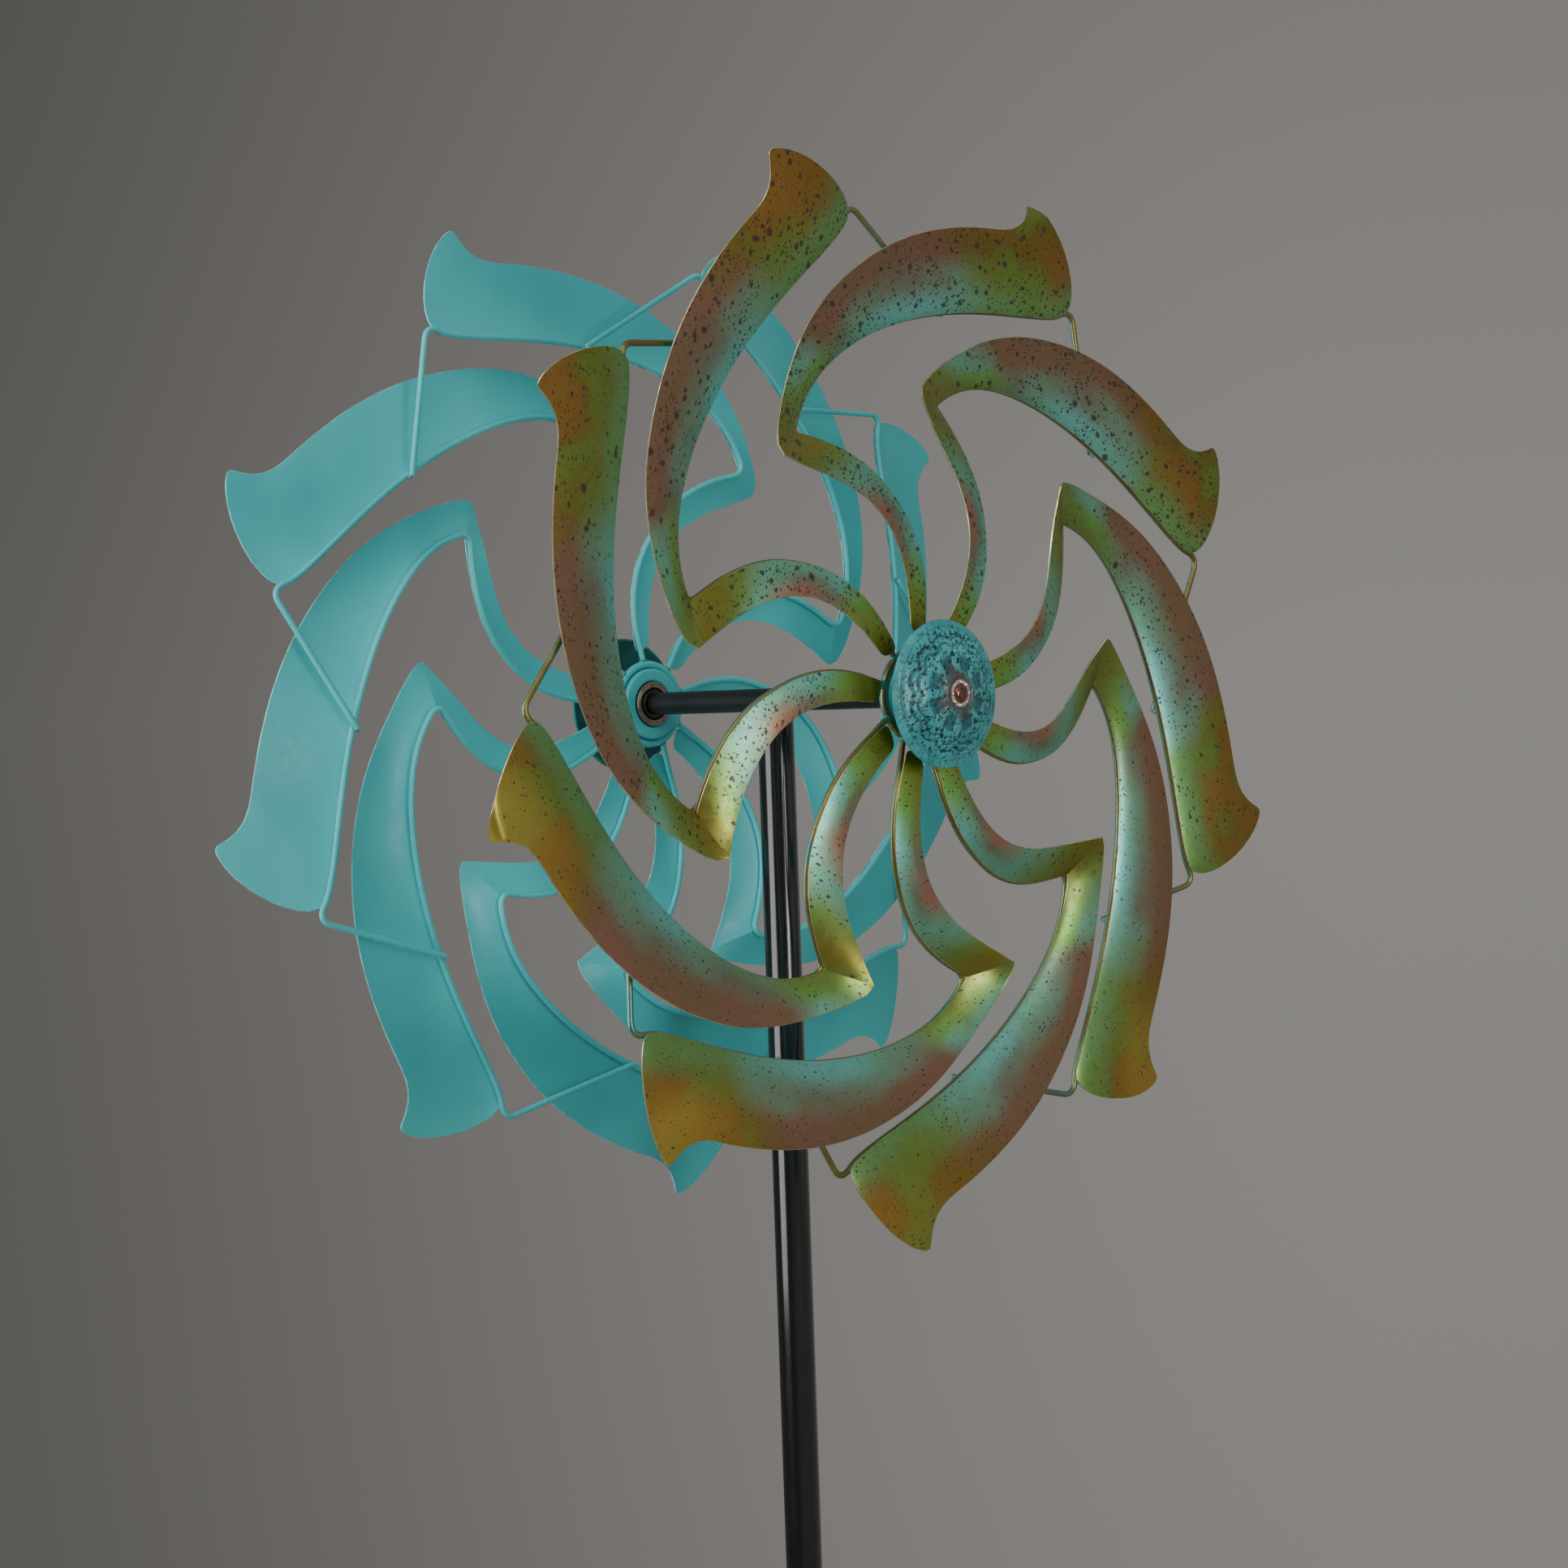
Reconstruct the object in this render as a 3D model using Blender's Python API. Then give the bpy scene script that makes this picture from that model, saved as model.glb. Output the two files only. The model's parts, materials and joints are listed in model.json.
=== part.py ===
"""Double wind spinner on a garden pole.

Two nine-blade rotors turn freely on the ends of a horizontal bar, which is welded across the top
of a three-piece pole with a four-tine ground fork. Lengths are metres. The origin is on the pole's
axis at the soil line, under the step plate; +Z is up and the front rotor faces -Y.
"""

import math

import bmesh
import bpy
import numpy as np
from mathutils import Matrix, Vector

MM = 0.001
GAP = 0.3 * MM                   # air left between neighbouring pieces

# Driving dimensions
BAR_HEIGHT = 1.370               # bar axis above the soil line
ROTOR_OFFSET = 0.115             # pole axis to each rotor's blade plane
BLADE_COUNT = 9
SHEET = 1.0 * MM                 # blade sheet thickness
BAND_CROWN = 3.0 * MM            # how far the wide band bulges to the front
ARM_CROWN = 0.8 * MM
ROD_RADIUS = 1.75 * MM           # wire rod that stiffens each blade
ROD_CORNER = 4.0 * MM            # bend where the rod turns round the elbow
ROD_TIP_BEND = 9.0 * MM          # bend where the rod leaves the blade tip
WELD_AT = 0.50                   # where a strut lands, as a fraction of the next band's inner edge

POLE_RADIUS = 10.6 * MM
POLE_WALL = 1.5 * MM
SPIGOT_LENGTH = 45 * MM
POLE_JOINTS = (0.420, 0.840)     # heights where the pole sections meet
BAR_RADIUS = 6.75 * MM
JOURNAL_RADIUS = 5.0 * MM

PLATE_TOP = 5 * MM
PLATE_ARM = 65 * MM              # pole axis to the end of each step plate arm
PLATE_WIDTH = 24 * MM
TINE_RADIUS = 4 * MM
TINE_SPACING = 52 * MM           # pole axis to each tine
TINE_LENGTH = 230 * MM
TINE_POINT = 30 * MM

# Hub, measured along the axle outwards from the blade plane
RING_PLANE = -3.0 * MM
RING_RADIUS = 24.1 * MM          # to the centre of the ring's rod
RING_ROD = 2.3 * MM
RING_SLIT = 2.0                  # degrees left open where the ring's ends meet
HOUSING_BACK = -7.5 * MM
HOUSING_FLANGE = 21.5 * MM
HOUSING_NOSE = 16.0 * MM
NOSE_FRONT = 22.0 * MM
BEARING_BACK = -8.7 * MM
BEARING_WIDTH = 9.0 * MM
BEARING_RADIUS = 13.5 * MM
RACE_SPLIT = 8.6 * MM            # radius where the inner race ends and the outer one begins
NUT_RADIUS = 9.2 * MM            # to the nut's corners
DOME_RIM = 20.5 * MM
DOME_RADIUS = 40.7 * MM
DOME_HEIGHT = 12.0 * MM
DOME_SHEET = 1.2 * MM
BOSS_RADIUS = 7.0 * MM
BOSS_HEIGHT = 1.5 * MM

# Blade outline in the rotor's frame, in millimetres: x towards the blade's horn, y against the
# sweep, z out of the rotor towards the viewer.
ARM_END_INNER = (29.5, 8.5, 2.5)
ARM_END_OUTER = (29.5, 22, 5)
ELBOW_INNER = (101, 127, -7.5)
ELBOW_OUTER = (79.5, 142, 6)
TIP_CORNER = (256, -49, -4.5)
HORN = (305, 0, 4.5)
ARM_INNER = (ARM_END_INNER, (67.5, 18.5, 5), (96, 46, 1), (111, 84.5, -5), ELBOW_INNER)
ARM_OUTER = (ARM_END_OUTER, (73.5, 41, 6.5), (91.5, 84, 2.5), (83, 115, 0), ELBOW_OUTER)
BAND_INNER = (ELBOW_INNER, (144.5, 131, -11), (225.5, 46.5, -10.5), (245, -37.5, -4), TIP_CORNER)
BAND_OUTER = (ELBOW_OUTER, (79.5, 148, 3.5), (120.5, 149, -3), (177, 139.5, -2.5), (241, 91, 1),
              (277, 24, 1.5), (282.5, 2, 4), HORN)
END_EDGE = (TIP_CORNER, (264, -52, -2.5), (288, -37, 0.5), (305, -12.5, 3), HORN)

# The blades follow each other clockwise, seen from the front. Each is set by hand: the degrees it
# stands on past the even spacing, then in millimetres how far its elbow and its tip stand forward
# and how far the tip's outer edge is twisted forward.
FRONT_PHASE = 18.7               # degrees back from straight up to the first blade's horn
FRONT_SET = ((-1, -6, 0.5, -1.5), (1, 0, -7.5, -4), (0, 3, -1.5, -2), (3.5, 4, 3.5, 0),
             (-1, -4.5, -0.5, -1.5), (1.5, 6.5, 3, 2), (-1.5, 6.5, -0.5, -1.5), (-3.5, 0.5, -4, 0.5),
             (-0.5, -9.5, -2.5, 0.5))
REAR_PHASE = -21.2
REAR_SET = ((2, 0, 9.5, 3.5), (2, 9.5, 18, 4), (2, 15.5, 8.5, 3.5), (-0.5, 1.5, -1, -1.5),
            (2, 2, 3, 0), (-1, -1.5, -2.5, 0), (-2.5, -1.5, -4.5, 1), (0, -4, -5.5, 3),
            (-3, -1.5, -0.5, 5))

# Mesh density
ARM_ROWS = 6
BAND_ROWS = 12
COLUMNS = 3
TIP_CROWD = 1.3                  # rows crowd towards the tip, where the outline turns most
HORN_CROWD = 1.6                 # points along the end crowd towards the horn
ROUND = 20

# Rotor frames: x up, z outwards along the bar
FRONT_AXES = Matrix(((0, -1, 0), (0, 0, -1), (1, 0, 0))).to_4x4()
REAR_AXES = Matrix(((0, 1, 0), (0, 0, 1), (1, 0, 0))).to_4x4()


def material(name, colour, roughness, metallic):
    mat = bpy.data.materials.new(name)
    mat.use_nodes = True
    shader = mat.node_tree.nodes["Principled BSDF"]
    shader.inputs["Base Color"].default_value = (*colour, 1)
    shader.inputs["Roughness"].default_value = roughness
    shader.inputs["Metallic"].default_value = metallic
    mat.diffuse_color = (*colour, 1)
    return mat


def add_object(name, data, mat, parent=None):
    obj = bpy.data.objects.new(name, data)
    obj.data.materials.append(mat.copy())
    obj.active_material.name = name
    bpy.context.collection.objects.link(obj)
    obj.parent = parent
    return obj


def add_mesh(name, bm, mat, parent=None, sharp_angle=35):
    bmesh.ops.recalc_face_normals(bm, faces=bm.faces)
    mesh = bpy.data.meshes.new(name)
    bm.to_mesh(mesh)
    bm.free()
    mesh.shade_smooth()
    mesh.set_sharp_from_angle(angle=math.radians(sharp_angle))
    return add_object(name, mesh, mat, parent)


def turned(profile, segments=ROUND):
    """Solid of revolution about z. The profile is a closed loop of (radius, height)."""
    bm = bmesh.new()
    on_axis = [bm.verts.new((0, 0, z)) if r == 0 else None for r, z in profile]
    rings = []
    for i in range(segments):
        angle = 2 * math.pi * i / segments
        rings.append([on_axis[j] or bm.verts.new((r * math.cos(angle), r * math.sin(angle), z))
                      for j, (r, z) in enumerate(profile)])
    for i in range(segments):
        here, there = rings[i], rings[(i + 1) % segments]
        for j in range(len(profile)):
            k = (j + 1) % len(profile)
            corners = list(dict.fromkeys((here[j], there[j], there[k], here[k])))
            if len(corners) > 2:
                bm.faces.new(corners)
    return bm


def bspline(points, count, crowd=1.0):
    """Clamped cubic B-spline over a control polygon, read at steps of length that shorten to the end."""
    ctrl = np.array(points, dtype=float)
    degree = 3
    spans = len(ctrl) - degree
    knots = np.concatenate((np.zeros(degree), np.linspace(0, 1, spans + 1), np.ones(degree)))
    u = np.linspace(0, 1, 400)
    basis = [((knots[i] <= u) & (u < knots[i + 1])).astype(float) for i in range(len(knots) - 1)]
    basis[len(ctrl) - 1][-1] = 1.0
    for d in range(1, degree + 1):
        for i in range(len(knots) - 1 - d):
            left = knots[i + d] - knots[i]
            right = knots[i + d + 1] - knots[i + 1]
            a = (u - knots[i]) / left if left else 0 * u
            b = (knots[i + d + 1] - u) / right if right else 0 * u
            basis[i] = a * basis[i] + b * basis[i + 1]
    curve = sum(basis[i][:, None] * ctrl[i] for i in range(len(ctrl)))
    length = np.concatenate(((0,), np.cumsum(np.linalg.norm(np.diff(curve, axis=0), axis=1))))
    steps = length[-1] * (1 - np.linspace(1, 0, count) ** crowd)
    return np.stack([np.interp(steps, length, curve[:, axis]) for axis in range(3)], axis=1)


def patch(inner, outer, start, end, crown):
    """Surface between four edges, bulged forward between its long edges."""
    rows, columns = len(inner), len(start)
    s = np.linspace(0, 1, rows)[:, None, None]
    t = np.linspace(0, 1, columns)[None, :, None]
    along = (1 - t) * inner[:, None] + t * outer[:, None]
    across = (1 - s) * start[None] + s * end[None]
    corners = ((1 - s) * ((1 - t) * inner[0] + t * outer[0])
               + s * ((1 - t) * inner[-1] + t * outer[-1]))
    surface = along + across - corners
    surface[:, :, 2] += (4 * t * (1 - t) * np.reshape(crown, (-1, 1, 1)))[:, :, 0]
    return surface


def blade_surface(elbow_lift, tip_lift, twist):
    """Rows of points from the hub end to the tip, inner edge first, with the elbow row shared."""
    elbow = np.linspace(ELBOW_INNER, ELBOW_OUTER, COLUMNS + 1)
    root = np.linspace(ARM_END_INNER, ARM_END_OUTER, COLUMNS + 1)
    arm_crown = ARM_CROWN / MM * np.sin(np.linspace(0, math.pi, ARM_ROWS + 1))
    arm = patch(bspline(ARM_INNER, ARM_ROWS + 1), bspline(ARM_OUTER, ARM_ROWS + 1), root, elbow,
                arm_crown)
    band_crown = BAND_CROWN / MM * np.sin(np.linspace(0, math.pi / 2, BAND_ROWS + 1)) ** 0.7
    band = patch(bspline(BAND_INNER, BAND_ROWS + 1, TIP_CROWD),
                 bspline(BAND_OUTER, BAND_ROWS + 1, TIP_CROWD),
                 elbow, bspline(END_EDGE, COLUMNS + 1, HORN_CROWD), band_crown)
    surface = np.concatenate((arm, band[1:]))
    reach = np.clip((np.hypot(surface[..., 0], surface[..., 1]) - 50) / 110, 0, 1)
    sweep = np.clip((np.arctan2(surface[..., 1], surface[..., 0]) + 0.1) / 1.1, 0, 1)
    share = np.zeros((len(surface), 1))
    share[ARM_ROWS:, 0] = 1 - np.linspace(1, 0, BAND_ROWS + 1) ** TIP_CROWD
    across = np.linspace(-1, 1, COLUMNS + 1)
    surface[..., 2] += elbow_lift * reach * sweep + tip_lift * share ** 1.5 + twist * across * share
    return surface * MM


def surface_normals(surface):
    along = np.gradient(surface, axis=0)
    across = np.gradient(surface, axis=1)
    normal = np.cross(along, across)
    normal /= np.linalg.norm(normal, axis=2, keepdims=True)
    return normal * np.sign(normal[..., 2:3])


def rotated(points, degrees):
    turn = math.radians(degrees)
    spin = np.array(((math.cos(turn), math.sin(turn), 0), (-math.sin(turn), math.cos(turn), 0), (0, 0, 1)))
    return points @ spin


def sheet_solid(surface):
    """Closed sheet of even thickness about a surface."""
    rows, columns = surface.shape[:2]
    offset = surface_normals(surface) * SHEET / 2
    bm = bmesh.new()
    front = [[bm.verts.new(p) for p in row] for row in surface + offset]
    back = [[bm.verts.new(p) for p in row] for row in surface - offset]
    for i in range(rows - 1):
        for j in range(columns - 1):
            for side in (front, back):
                bm.faces.new((side[i][j], side[i + 1][j], side[i + 1][j + 1], side[i][j + 1]))
    rim = [(i, 0) for i in range(rows)]
    rim += [(rows - 1, j) for j in range(1, columns)]
    rim += [(i, columns - 1) for i in range(rows - 2, -1, -1)]
    rim += [(0, j) for j in range(columns - 2, 0, -1)]
    for (i, j), (k, m) in zip(rim, rim[1:] + rim[:1]):
        bm.faces.new((front[i][j], front[k][m], back[k][m], back[i][j]))
    return bm


def rounded_corner(before, corner, after, radius, count=4):
    """Points of a curve that cuts a path's corner."""
    to_before = (before - corner) / np.linalg.norm(before - corner)
    to_after = (after - corner) / np.linalg.norm(after - corner)
    t = np.linspace(0, 1, count)[:, None]
    start, end = corner + to_before * radius, corner + to_after * radius
    return (1 - t) ** 2 * start + 2 * t * (1 - t) * corner + t ** 2 * end


def edge_rod(surface):
    """Centre line of the rod behind the blade's inner edge, from the hub end to the tip."""
    clear = np.full(len(surface), SHEET / 2 + GAP + ROD_RADIUS)
    clear[ARM_ROWS - 1:ARM_ROWS + 2] += (0.3 * MM, 0.6 * MM, 0.3 * MM)
    return surface[:, 0] - surface_normals(surface)[:, 0] * clear[:, None]


def rod_path(surface, next_rod):
    """Ring, arm, elbow, band and tip, then straight across to the next blade's rod."""
    edge = edge_rod(surface)
    outwards = edge[0] * (1, 1, 0) / np.linalg.norm(edge[0, :2])
    start = outwards * (RING_RADIUS + RING_ROD + 2 * GAP) + np.array((0, 0, RING_PLANE + 0.5 * MM))
    weld = next_rod[ARM_ROWS + round(BAND_ROWS * WELD_AT)]
    weld = weld - np.array((0, 0, 2 * ROD_RADIUS + 2 * GAP))
    direction = edge[-1] - edge[-2]
    turn = edge[-1] + direction / np.linalg.norm(direction) * ROD_TIP_BEND
    elbow = rounded_corner(edge[ARM_ROWS - 1], edge[ARM_ROWS], edge[ARM_ROWS + 1], 1.6 * ROD_CORNER)
    tip = rounded_corner(edge[-1], turn, weld, ROD_TIP_BEND * 0.95)
    reach = weld + (weld - turn) / np.linalg.norm(weld - turn) * 1.2 * ROD_RADIUS
    return np.concatenate((start[None], edge[1:ARM_ROWS], elbow, edge[ARM_ROWS + 1:-1], tip, reach[None]))


def add_rod(name, path, mat, parent):
    curve = bpy.data.curves.new(name, "CURVE")
    curve.dimensions = "3D"
    curve.bevel_depth = ROD_RADIUS
    curve.bevel_resolution = 1
    curve.use_fill_caps = True
    spline = curve.splines.new("POLY")
    spline.points.add(len(path) - 1)
    for point, place in zip(spline.points, path):
        point.co = (*place, 1)
    return add_object(name, curve, mat, parent)


def blades(side, phase, settings, axis, face, rod):
    surfaces = [rotated(blade_surface(*bends), phase - 360 / BLADE_COUNT * i - turn)
                for i, (turn, *bends) in enumerate(settings)]
    rods = [edge_rod(surface) for surface in surfaces]
    for i, surface in enumerate(surfaces):
        add_mesh(f"{side}_blade_{i + 1}", sheet_solid(surface), face, axis)
        add_rod(f"{side}_rod_{i + 1}", rod_path(surface, rods[(i + 1) % BLADE_COUNT]), rod, axis)


def hub_ring(side, axis, mat):
    """Rod ring that the blades' rods are welded to, with its two ends just apart."""
    bm = bmesh.new()
    sections, sides = 26, 6
    rings = []
    for i in range(sections + 1):
        angle = math.radians(RING_SLIT / 2 + (360 - RING_SLIT) * i / sections)
        rings.append([bm.verts.new(((RING_RADIUS + RING_ROD * math.cos(a)) * math.cos(angle),
                                    (RING_RADIUS + RING_ROD * math.cos(a)) * math.sin(angle),
                                    RING_PLANE + RING_ROD * math.sin(a)))
                      for a in (2 * math.pi * j / sides for j in range(sides))])
    for here, there in zip(rings, rings[1:]):
        for j in range(sides):
            k = (j + 1) % sides
            bm.faces.new((here[j], there[j], there[k], here[k]))
    bm.faces.new(rings[0])
    bm.faces.new(rings[-1])
    add_mesh(f"{side}_hub_ring", bm, mat, axis)


def hub_housing(side, axis, mat):
    """Flange with the bearing's pocket behind, and a hollow nose that carries the dome."""
    pocket = BEARING_RADIUS + GAP
    stop = BEARING_BACK + BEARING_WIDTH + GAP
    edge = 1 * MM
    profile = ((pocket, HOUSING_BACK), (HOUSING_FLANGE - edge, HOUSING_BACK),
               (HOUSING_FLANGE, HOUSING_BACK + edge), (HOUSING_FLANGE, 0), (HOUSING_NOSE, 0),
               (HOUSING_NOSE, NOSE_FRONT), (13 * MM, NOSE_FRONT), (13 * MM, stop + 2 * MM),
               (11 * MM, stop + 2 * MM), (11 * MM, stop), (pocket, stop))
    add_mesh(f"{side}_hub_housing", turned(profile), mat, axis)


def dome_height(radius):
    """Height of the dome's outer face above its rim plane."""
    return DOME_HEIGHT * math.cos(radius / DOME_RADIUS * math.pi / 2) ** 0.8


def dome_cap(side, axis, mat):
    """Pressed cap with a rolled rim, a round boss and a collar that grips the nose."""
    inside, outside = HOUSING_NOSE + GAP, HOUSING_NOSE + GAP + DOME_SHEET
    collar_back = DOME_RIM - 8 * MM
    steps = [DOME_RADIUS * f for f in (1.0, 0.94, 0.78, 0.56, 0.36)]
    outer = [(r, DOME_RIM + dome_height(r)) for r in steps[1:]]
    foot = BOSS_RADIUS + 1.5 * MM
    outer += [(foot, DOME_RIM + dome_height(foot)), (BOSS_RADIUS, DOME_RIM + DOME_HEIGHT + BOSS_HEIGHT),
              (0, DOME_RIM + DOME_HEIGHT + BOSS_HEIGHT)]
    inner = [(0, DOME_RIM + DOME_HEIGHT - DOME_SHEET)]
    inner += [(inside, DOME_RIM + dome_height(inside) - DOME_SHEET), (inside, collar_back),
              (outside, collar_back), (outside, DOME_RIM + dome_height(outside) - DOME_SHEET)]
    inner += [(r - DOME_SHEET, DOME_RIM + dome_height(r) - DOME_SHEET) for r in reversed(steps[1:3])]
    rim = [(DOME_RADIUS - 1.5 * DOME_SHEET, DOME_RIM - DOME_SHEET), (DOME_RADIUS, DOME_RIM - DOME_SHEET),
           (DOME_RADIUS, DOME_RIM)]
    add_mesh(f"{side}_dome_cap", turned(rim + outer + inner), mat, axis, 50)


def bearing(side, axis, outer_mat, inner_mat):
    """Inner race on the bar's journal and outer race in the housing, with shielded faces."""
    front = BEARING_BACK + BEARING_WIDTH
    bore = JOURNAL_RADIUS + GAP
    edge = 0.6 * MM
    outer = ((RACE_SPLIT + GAP, BEARING_BACK + edge), (BEARING_RADIUS - 2.5 * MM, BEARING_BACK + edge),
             (BEARING_RADIUS - 2.2 * MM, BEARING_BACK), (BEARING_RADIUS - edge, BEARING_BACK),
             (BEARING_RADIUS, BEARING_BACK + edge), (BEARING_RADIUS, front), (RACE_SPLIT + GAP, front))
    inner = ((bore, BEARING_BACK), (RACE_SPLIT - edge, BEARING_BACK), (RACE_SPLIT, BEARING_BACK + edge),
             (RACE_SPLIT, front), (bore, front))
    add_mesh(f"{side}_bearing_outer", turned(outer), outer_mat, axis)
    add_mesh(f"{side}_bearing_inner", turned(inner), inner_mat, axis)


def axle_end(side, axis, mat):
    """Washer against the inner race, and the hexagon nut that holds the rotor on."""
    washer_back = BEARING_BACK + BEARING_WIDTH + GAP
    washer_front = washer_back + 1.5 * MM
    bore = JOURNAL_RADIUS + GAP
    washer = ((bore, washer_back), (RACE_SPLIT - 0.4 * MM, washer_back),
              (RACE_SPLIT - 0.4 * MM, washer_front), (bore, washer_front))
    add_mesh(f"{side}_axle_washer", turned(washer), mat, axis)
    nut_back, nut_front = washer_front + GAP, washer_front + 8 * MM
    hole = bore / math.cos(math.pi / 6)
    nut = ((hole, nut_back), (NUT_RADIUS, nut_back), (NUT_RADIUS, nut_front), (hole, nut_front))
    add_mesh(f"{side}_axle_nut", turned(nut, 6), mat, axis)


def rotor(side, place, axes, phase, settings, mats):
    """Everything that turns with one rotor, hung from an empty on its axle."""
    axis = bpy.data.objects.new(f"{side}_rotor_axis", None)
    axis.matrix_world = Matrix.Translation(place) @ axes
    bpy.context.collection.objects.link(axis)
    blades(side, phase, settings, axis, mats["face"], mats["rod"])
    hub_ring(side, axis, mats["rod"])
    hub_housing(side, axis, mats["rod"])
    dome_cap(side, axis, mats["dome"])
    bearing(side, axis, mats["steel"], mats["race"])
    axle_end(side, axis, mats["steel"])


def bar(mat):
    """Round bar across the pole's top, turned down to a journal and a thread at each end."""
    shoulder = ROTOR_OFFSET + BEARING_BACK - GAP
    end = ROTOR_OFFSET + BEARING_BACK + BEARING_WIDTH + 12 * MM
    chamfer = 1 * MM
    half = [(BAR_RADIUS, shoulder - chamfer), (BAR_RADIUS - chamfer, shoulder), (JOURNAL_RADIUS, shoulder),
            (JOURNAL_RADIUS, end - chamfer), (JOURNAL_RADIUS - chamfer, end), (0, end)]
    profile = [(r, -z) for r, z in reversed(half)] + half
    obj = add_mesh("cross_bar", turned(profile, 20), mat)
    obj.location = (0, 0, BAR_HEIGHT)
    obj.rotation_euler = (math.pi / 2, 0, 0)


def tube_profile(bottom, top, spigot_top):
    """Pole section whose upper end is swaged down to a spigot, where it has one."""
    bore = POLE_RADIUS - POLE_WALL
    if not spigot_top:
        return ((POLE_RADIUS, bottom), (POLE_RADIUS, top), (bore, top), (bore, bottom))
    neck = bore - GAP
    return ((POLE_RADIUS, bottom), (POLE_RADIUS, top - 2 * MM), (neck, top), (neck, top + SPIGOT_LENGTH),
            (neck - POLE_WALL, top + SPIGOT_LENGTH), (neck - POLE_WALL, top - 2 * MM), (bore, top - 4 * MM),
            (bore, bottom))


def pole(mat):
    lower, upper = POLE_JOINTS
    add_mesh("lower_pole", turned(tube_profile(PLATE_TOP + GAP, lower, True), 20), mat)
    add_mesh("middle_pole", turned(tube_profile(lower + GAP, upper, True), 20), mat)
    top = add_mesh("upper_pole", turned(tube_profile(upper + GAP, BAR_HEIGHT, False), 20), mat)
    saddle = bmesh.new()
    bmesh.ops.create_cone(saddle, cap_ends=True, segments=24, radius1=BAR_RADIUS + GAP,
                          radius2=BAR_RADIUS + GAP, depth=4 * POLE_RADIUS)
    cutter = add_mesh("saddle_cutter", saddle, mat)
    cutter.location = (0, 0, BAR_HEIGHT)
    cutter.rotation_euler = (math.pi / 2, 0, 0)
    cutter.hide_render = True
    cutter.display_type = "WIRE"
    cut = top.modifiers.new("saddle", "BOOLEAN")
    cut.operation = "DIFFERENCE"
    cut.solver = "EXACT"
    cut.object = cutter


def ground_fork(mat):
    """Cross-shaped step plate at the soil line, with a tine under each arm."""
    half = PLATE_WIDTH / 2
    outline = []
    for quarter in range(4):
        turn = Matrix.Rotation(quarter * math.pi / 2, 3, "Z")
        outline += [turn @ Vector(p) for p in ((half, -half, 0), (PLATE_ARM - half / 2, -half, 0),
                                               (PLATE_ARM, -half / 2, 0), (PLATE_ARM, half / 2, 0),
                                               (PLATE_ARM - half / 2, half, 0))]
    bm = bmesh.new()
    bottom = bm.faces.new([bm.verts.new(p) for p in outline])
    top = bmesh.ops.extrude_face_region(bm, geom=[bottom])["geom"]
    bmesh.ops.translate(bm, vec=(0, 0, PLATE_TOP), verts=[v for v in top if isinstance(v, bmesh.types.BMVert)])
    add_mesh("step_plate", bm, mat)
    tine = ((TINE_RADIUS, -GAP), (0, -GAP), (0, -TINE_LENGTH), (TINE_RADIUS, TINE_POINT - TINE_LENGTH))
    for quarter in range(4):
        angle = quarter * math.pi / 2
        obj = add_mesh(f"tine_{quarter + 1}", turned(tine, 12), mat)
        obj.location = (TINE_SPACING * math.cos(angle), TINE_SPACING * math.sin(angle), 0)


def main():
    for obj in list(bpy.data.objects):
        bpy.data.objects.remove(obj)
    mats = {
        "face": material("patina", (0.30, 0.28, 0.12), 0.35, 0.8),
        "rod": material("turquoise_paint", (0.07, 0.34, 0.35), 0.45, 0.0),
        "dome": material("speckled_turquoise", (0.06, 0.30, 0.31), 0.25, 0.2),
        "steel": material("bare_steel", (0.42, 0.39, 0.35), 0.35, 1.0),
        "race": material("dark_steel", (0.10, 0.09, 0.08), 0.40, 1.0),
        "black": material("black_gloss", (0.012, 0.012, 0.013), 0.2, 0.0),
        "satin": material("black_satin", (0.015, 0.015, 0.016), 0.5, 0.0),
    }
    rotor("front", (0, -ROTOR_OFFSET, BAR_HEIGHT), FRONT_AXES, FRONT_PHASE, FRONT_SET, mats)
    rotor("rear", (0, ROTOR_OFFSET, BAR_HEIGHT), REAR_AXES, REAR_PHASE, REAR_SET, mats)
    bar(mats["satin"])
    pole(mats["black"])
    ground_fork(mats["black"])
    bpy.context.view_layer.update()


main()
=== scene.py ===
"""Looks of the double wind spinner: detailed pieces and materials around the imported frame.

Every piece is built in metres in the frame's own coordinates and rides on one of its three bodies:
the stand, the front rotor and the rear rotor. Each rotor has its own frame: x up, z outwards along
the bar and the origin where the bar meets the blades.
"""

import json
import math

import bpy
import numpy as np
from mathutils import Matrix, Vector


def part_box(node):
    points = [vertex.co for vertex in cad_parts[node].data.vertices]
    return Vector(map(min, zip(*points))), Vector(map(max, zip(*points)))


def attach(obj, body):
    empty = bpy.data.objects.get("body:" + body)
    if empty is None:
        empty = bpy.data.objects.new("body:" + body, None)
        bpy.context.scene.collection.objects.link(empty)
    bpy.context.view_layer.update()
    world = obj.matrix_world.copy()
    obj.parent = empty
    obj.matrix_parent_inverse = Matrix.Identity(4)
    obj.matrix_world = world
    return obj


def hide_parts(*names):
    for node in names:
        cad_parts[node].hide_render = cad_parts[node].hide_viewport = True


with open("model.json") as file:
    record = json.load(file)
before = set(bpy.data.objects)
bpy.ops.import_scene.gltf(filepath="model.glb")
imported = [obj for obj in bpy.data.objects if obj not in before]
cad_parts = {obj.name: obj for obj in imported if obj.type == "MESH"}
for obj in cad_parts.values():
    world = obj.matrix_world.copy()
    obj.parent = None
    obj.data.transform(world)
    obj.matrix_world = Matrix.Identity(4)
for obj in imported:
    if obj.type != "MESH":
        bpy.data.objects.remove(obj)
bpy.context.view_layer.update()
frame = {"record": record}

MM = 0.001
JOINTS = {joint["name"]: joint["pos_m"] for joint in frame["record"]["behaviour"]["joints"]}

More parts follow.
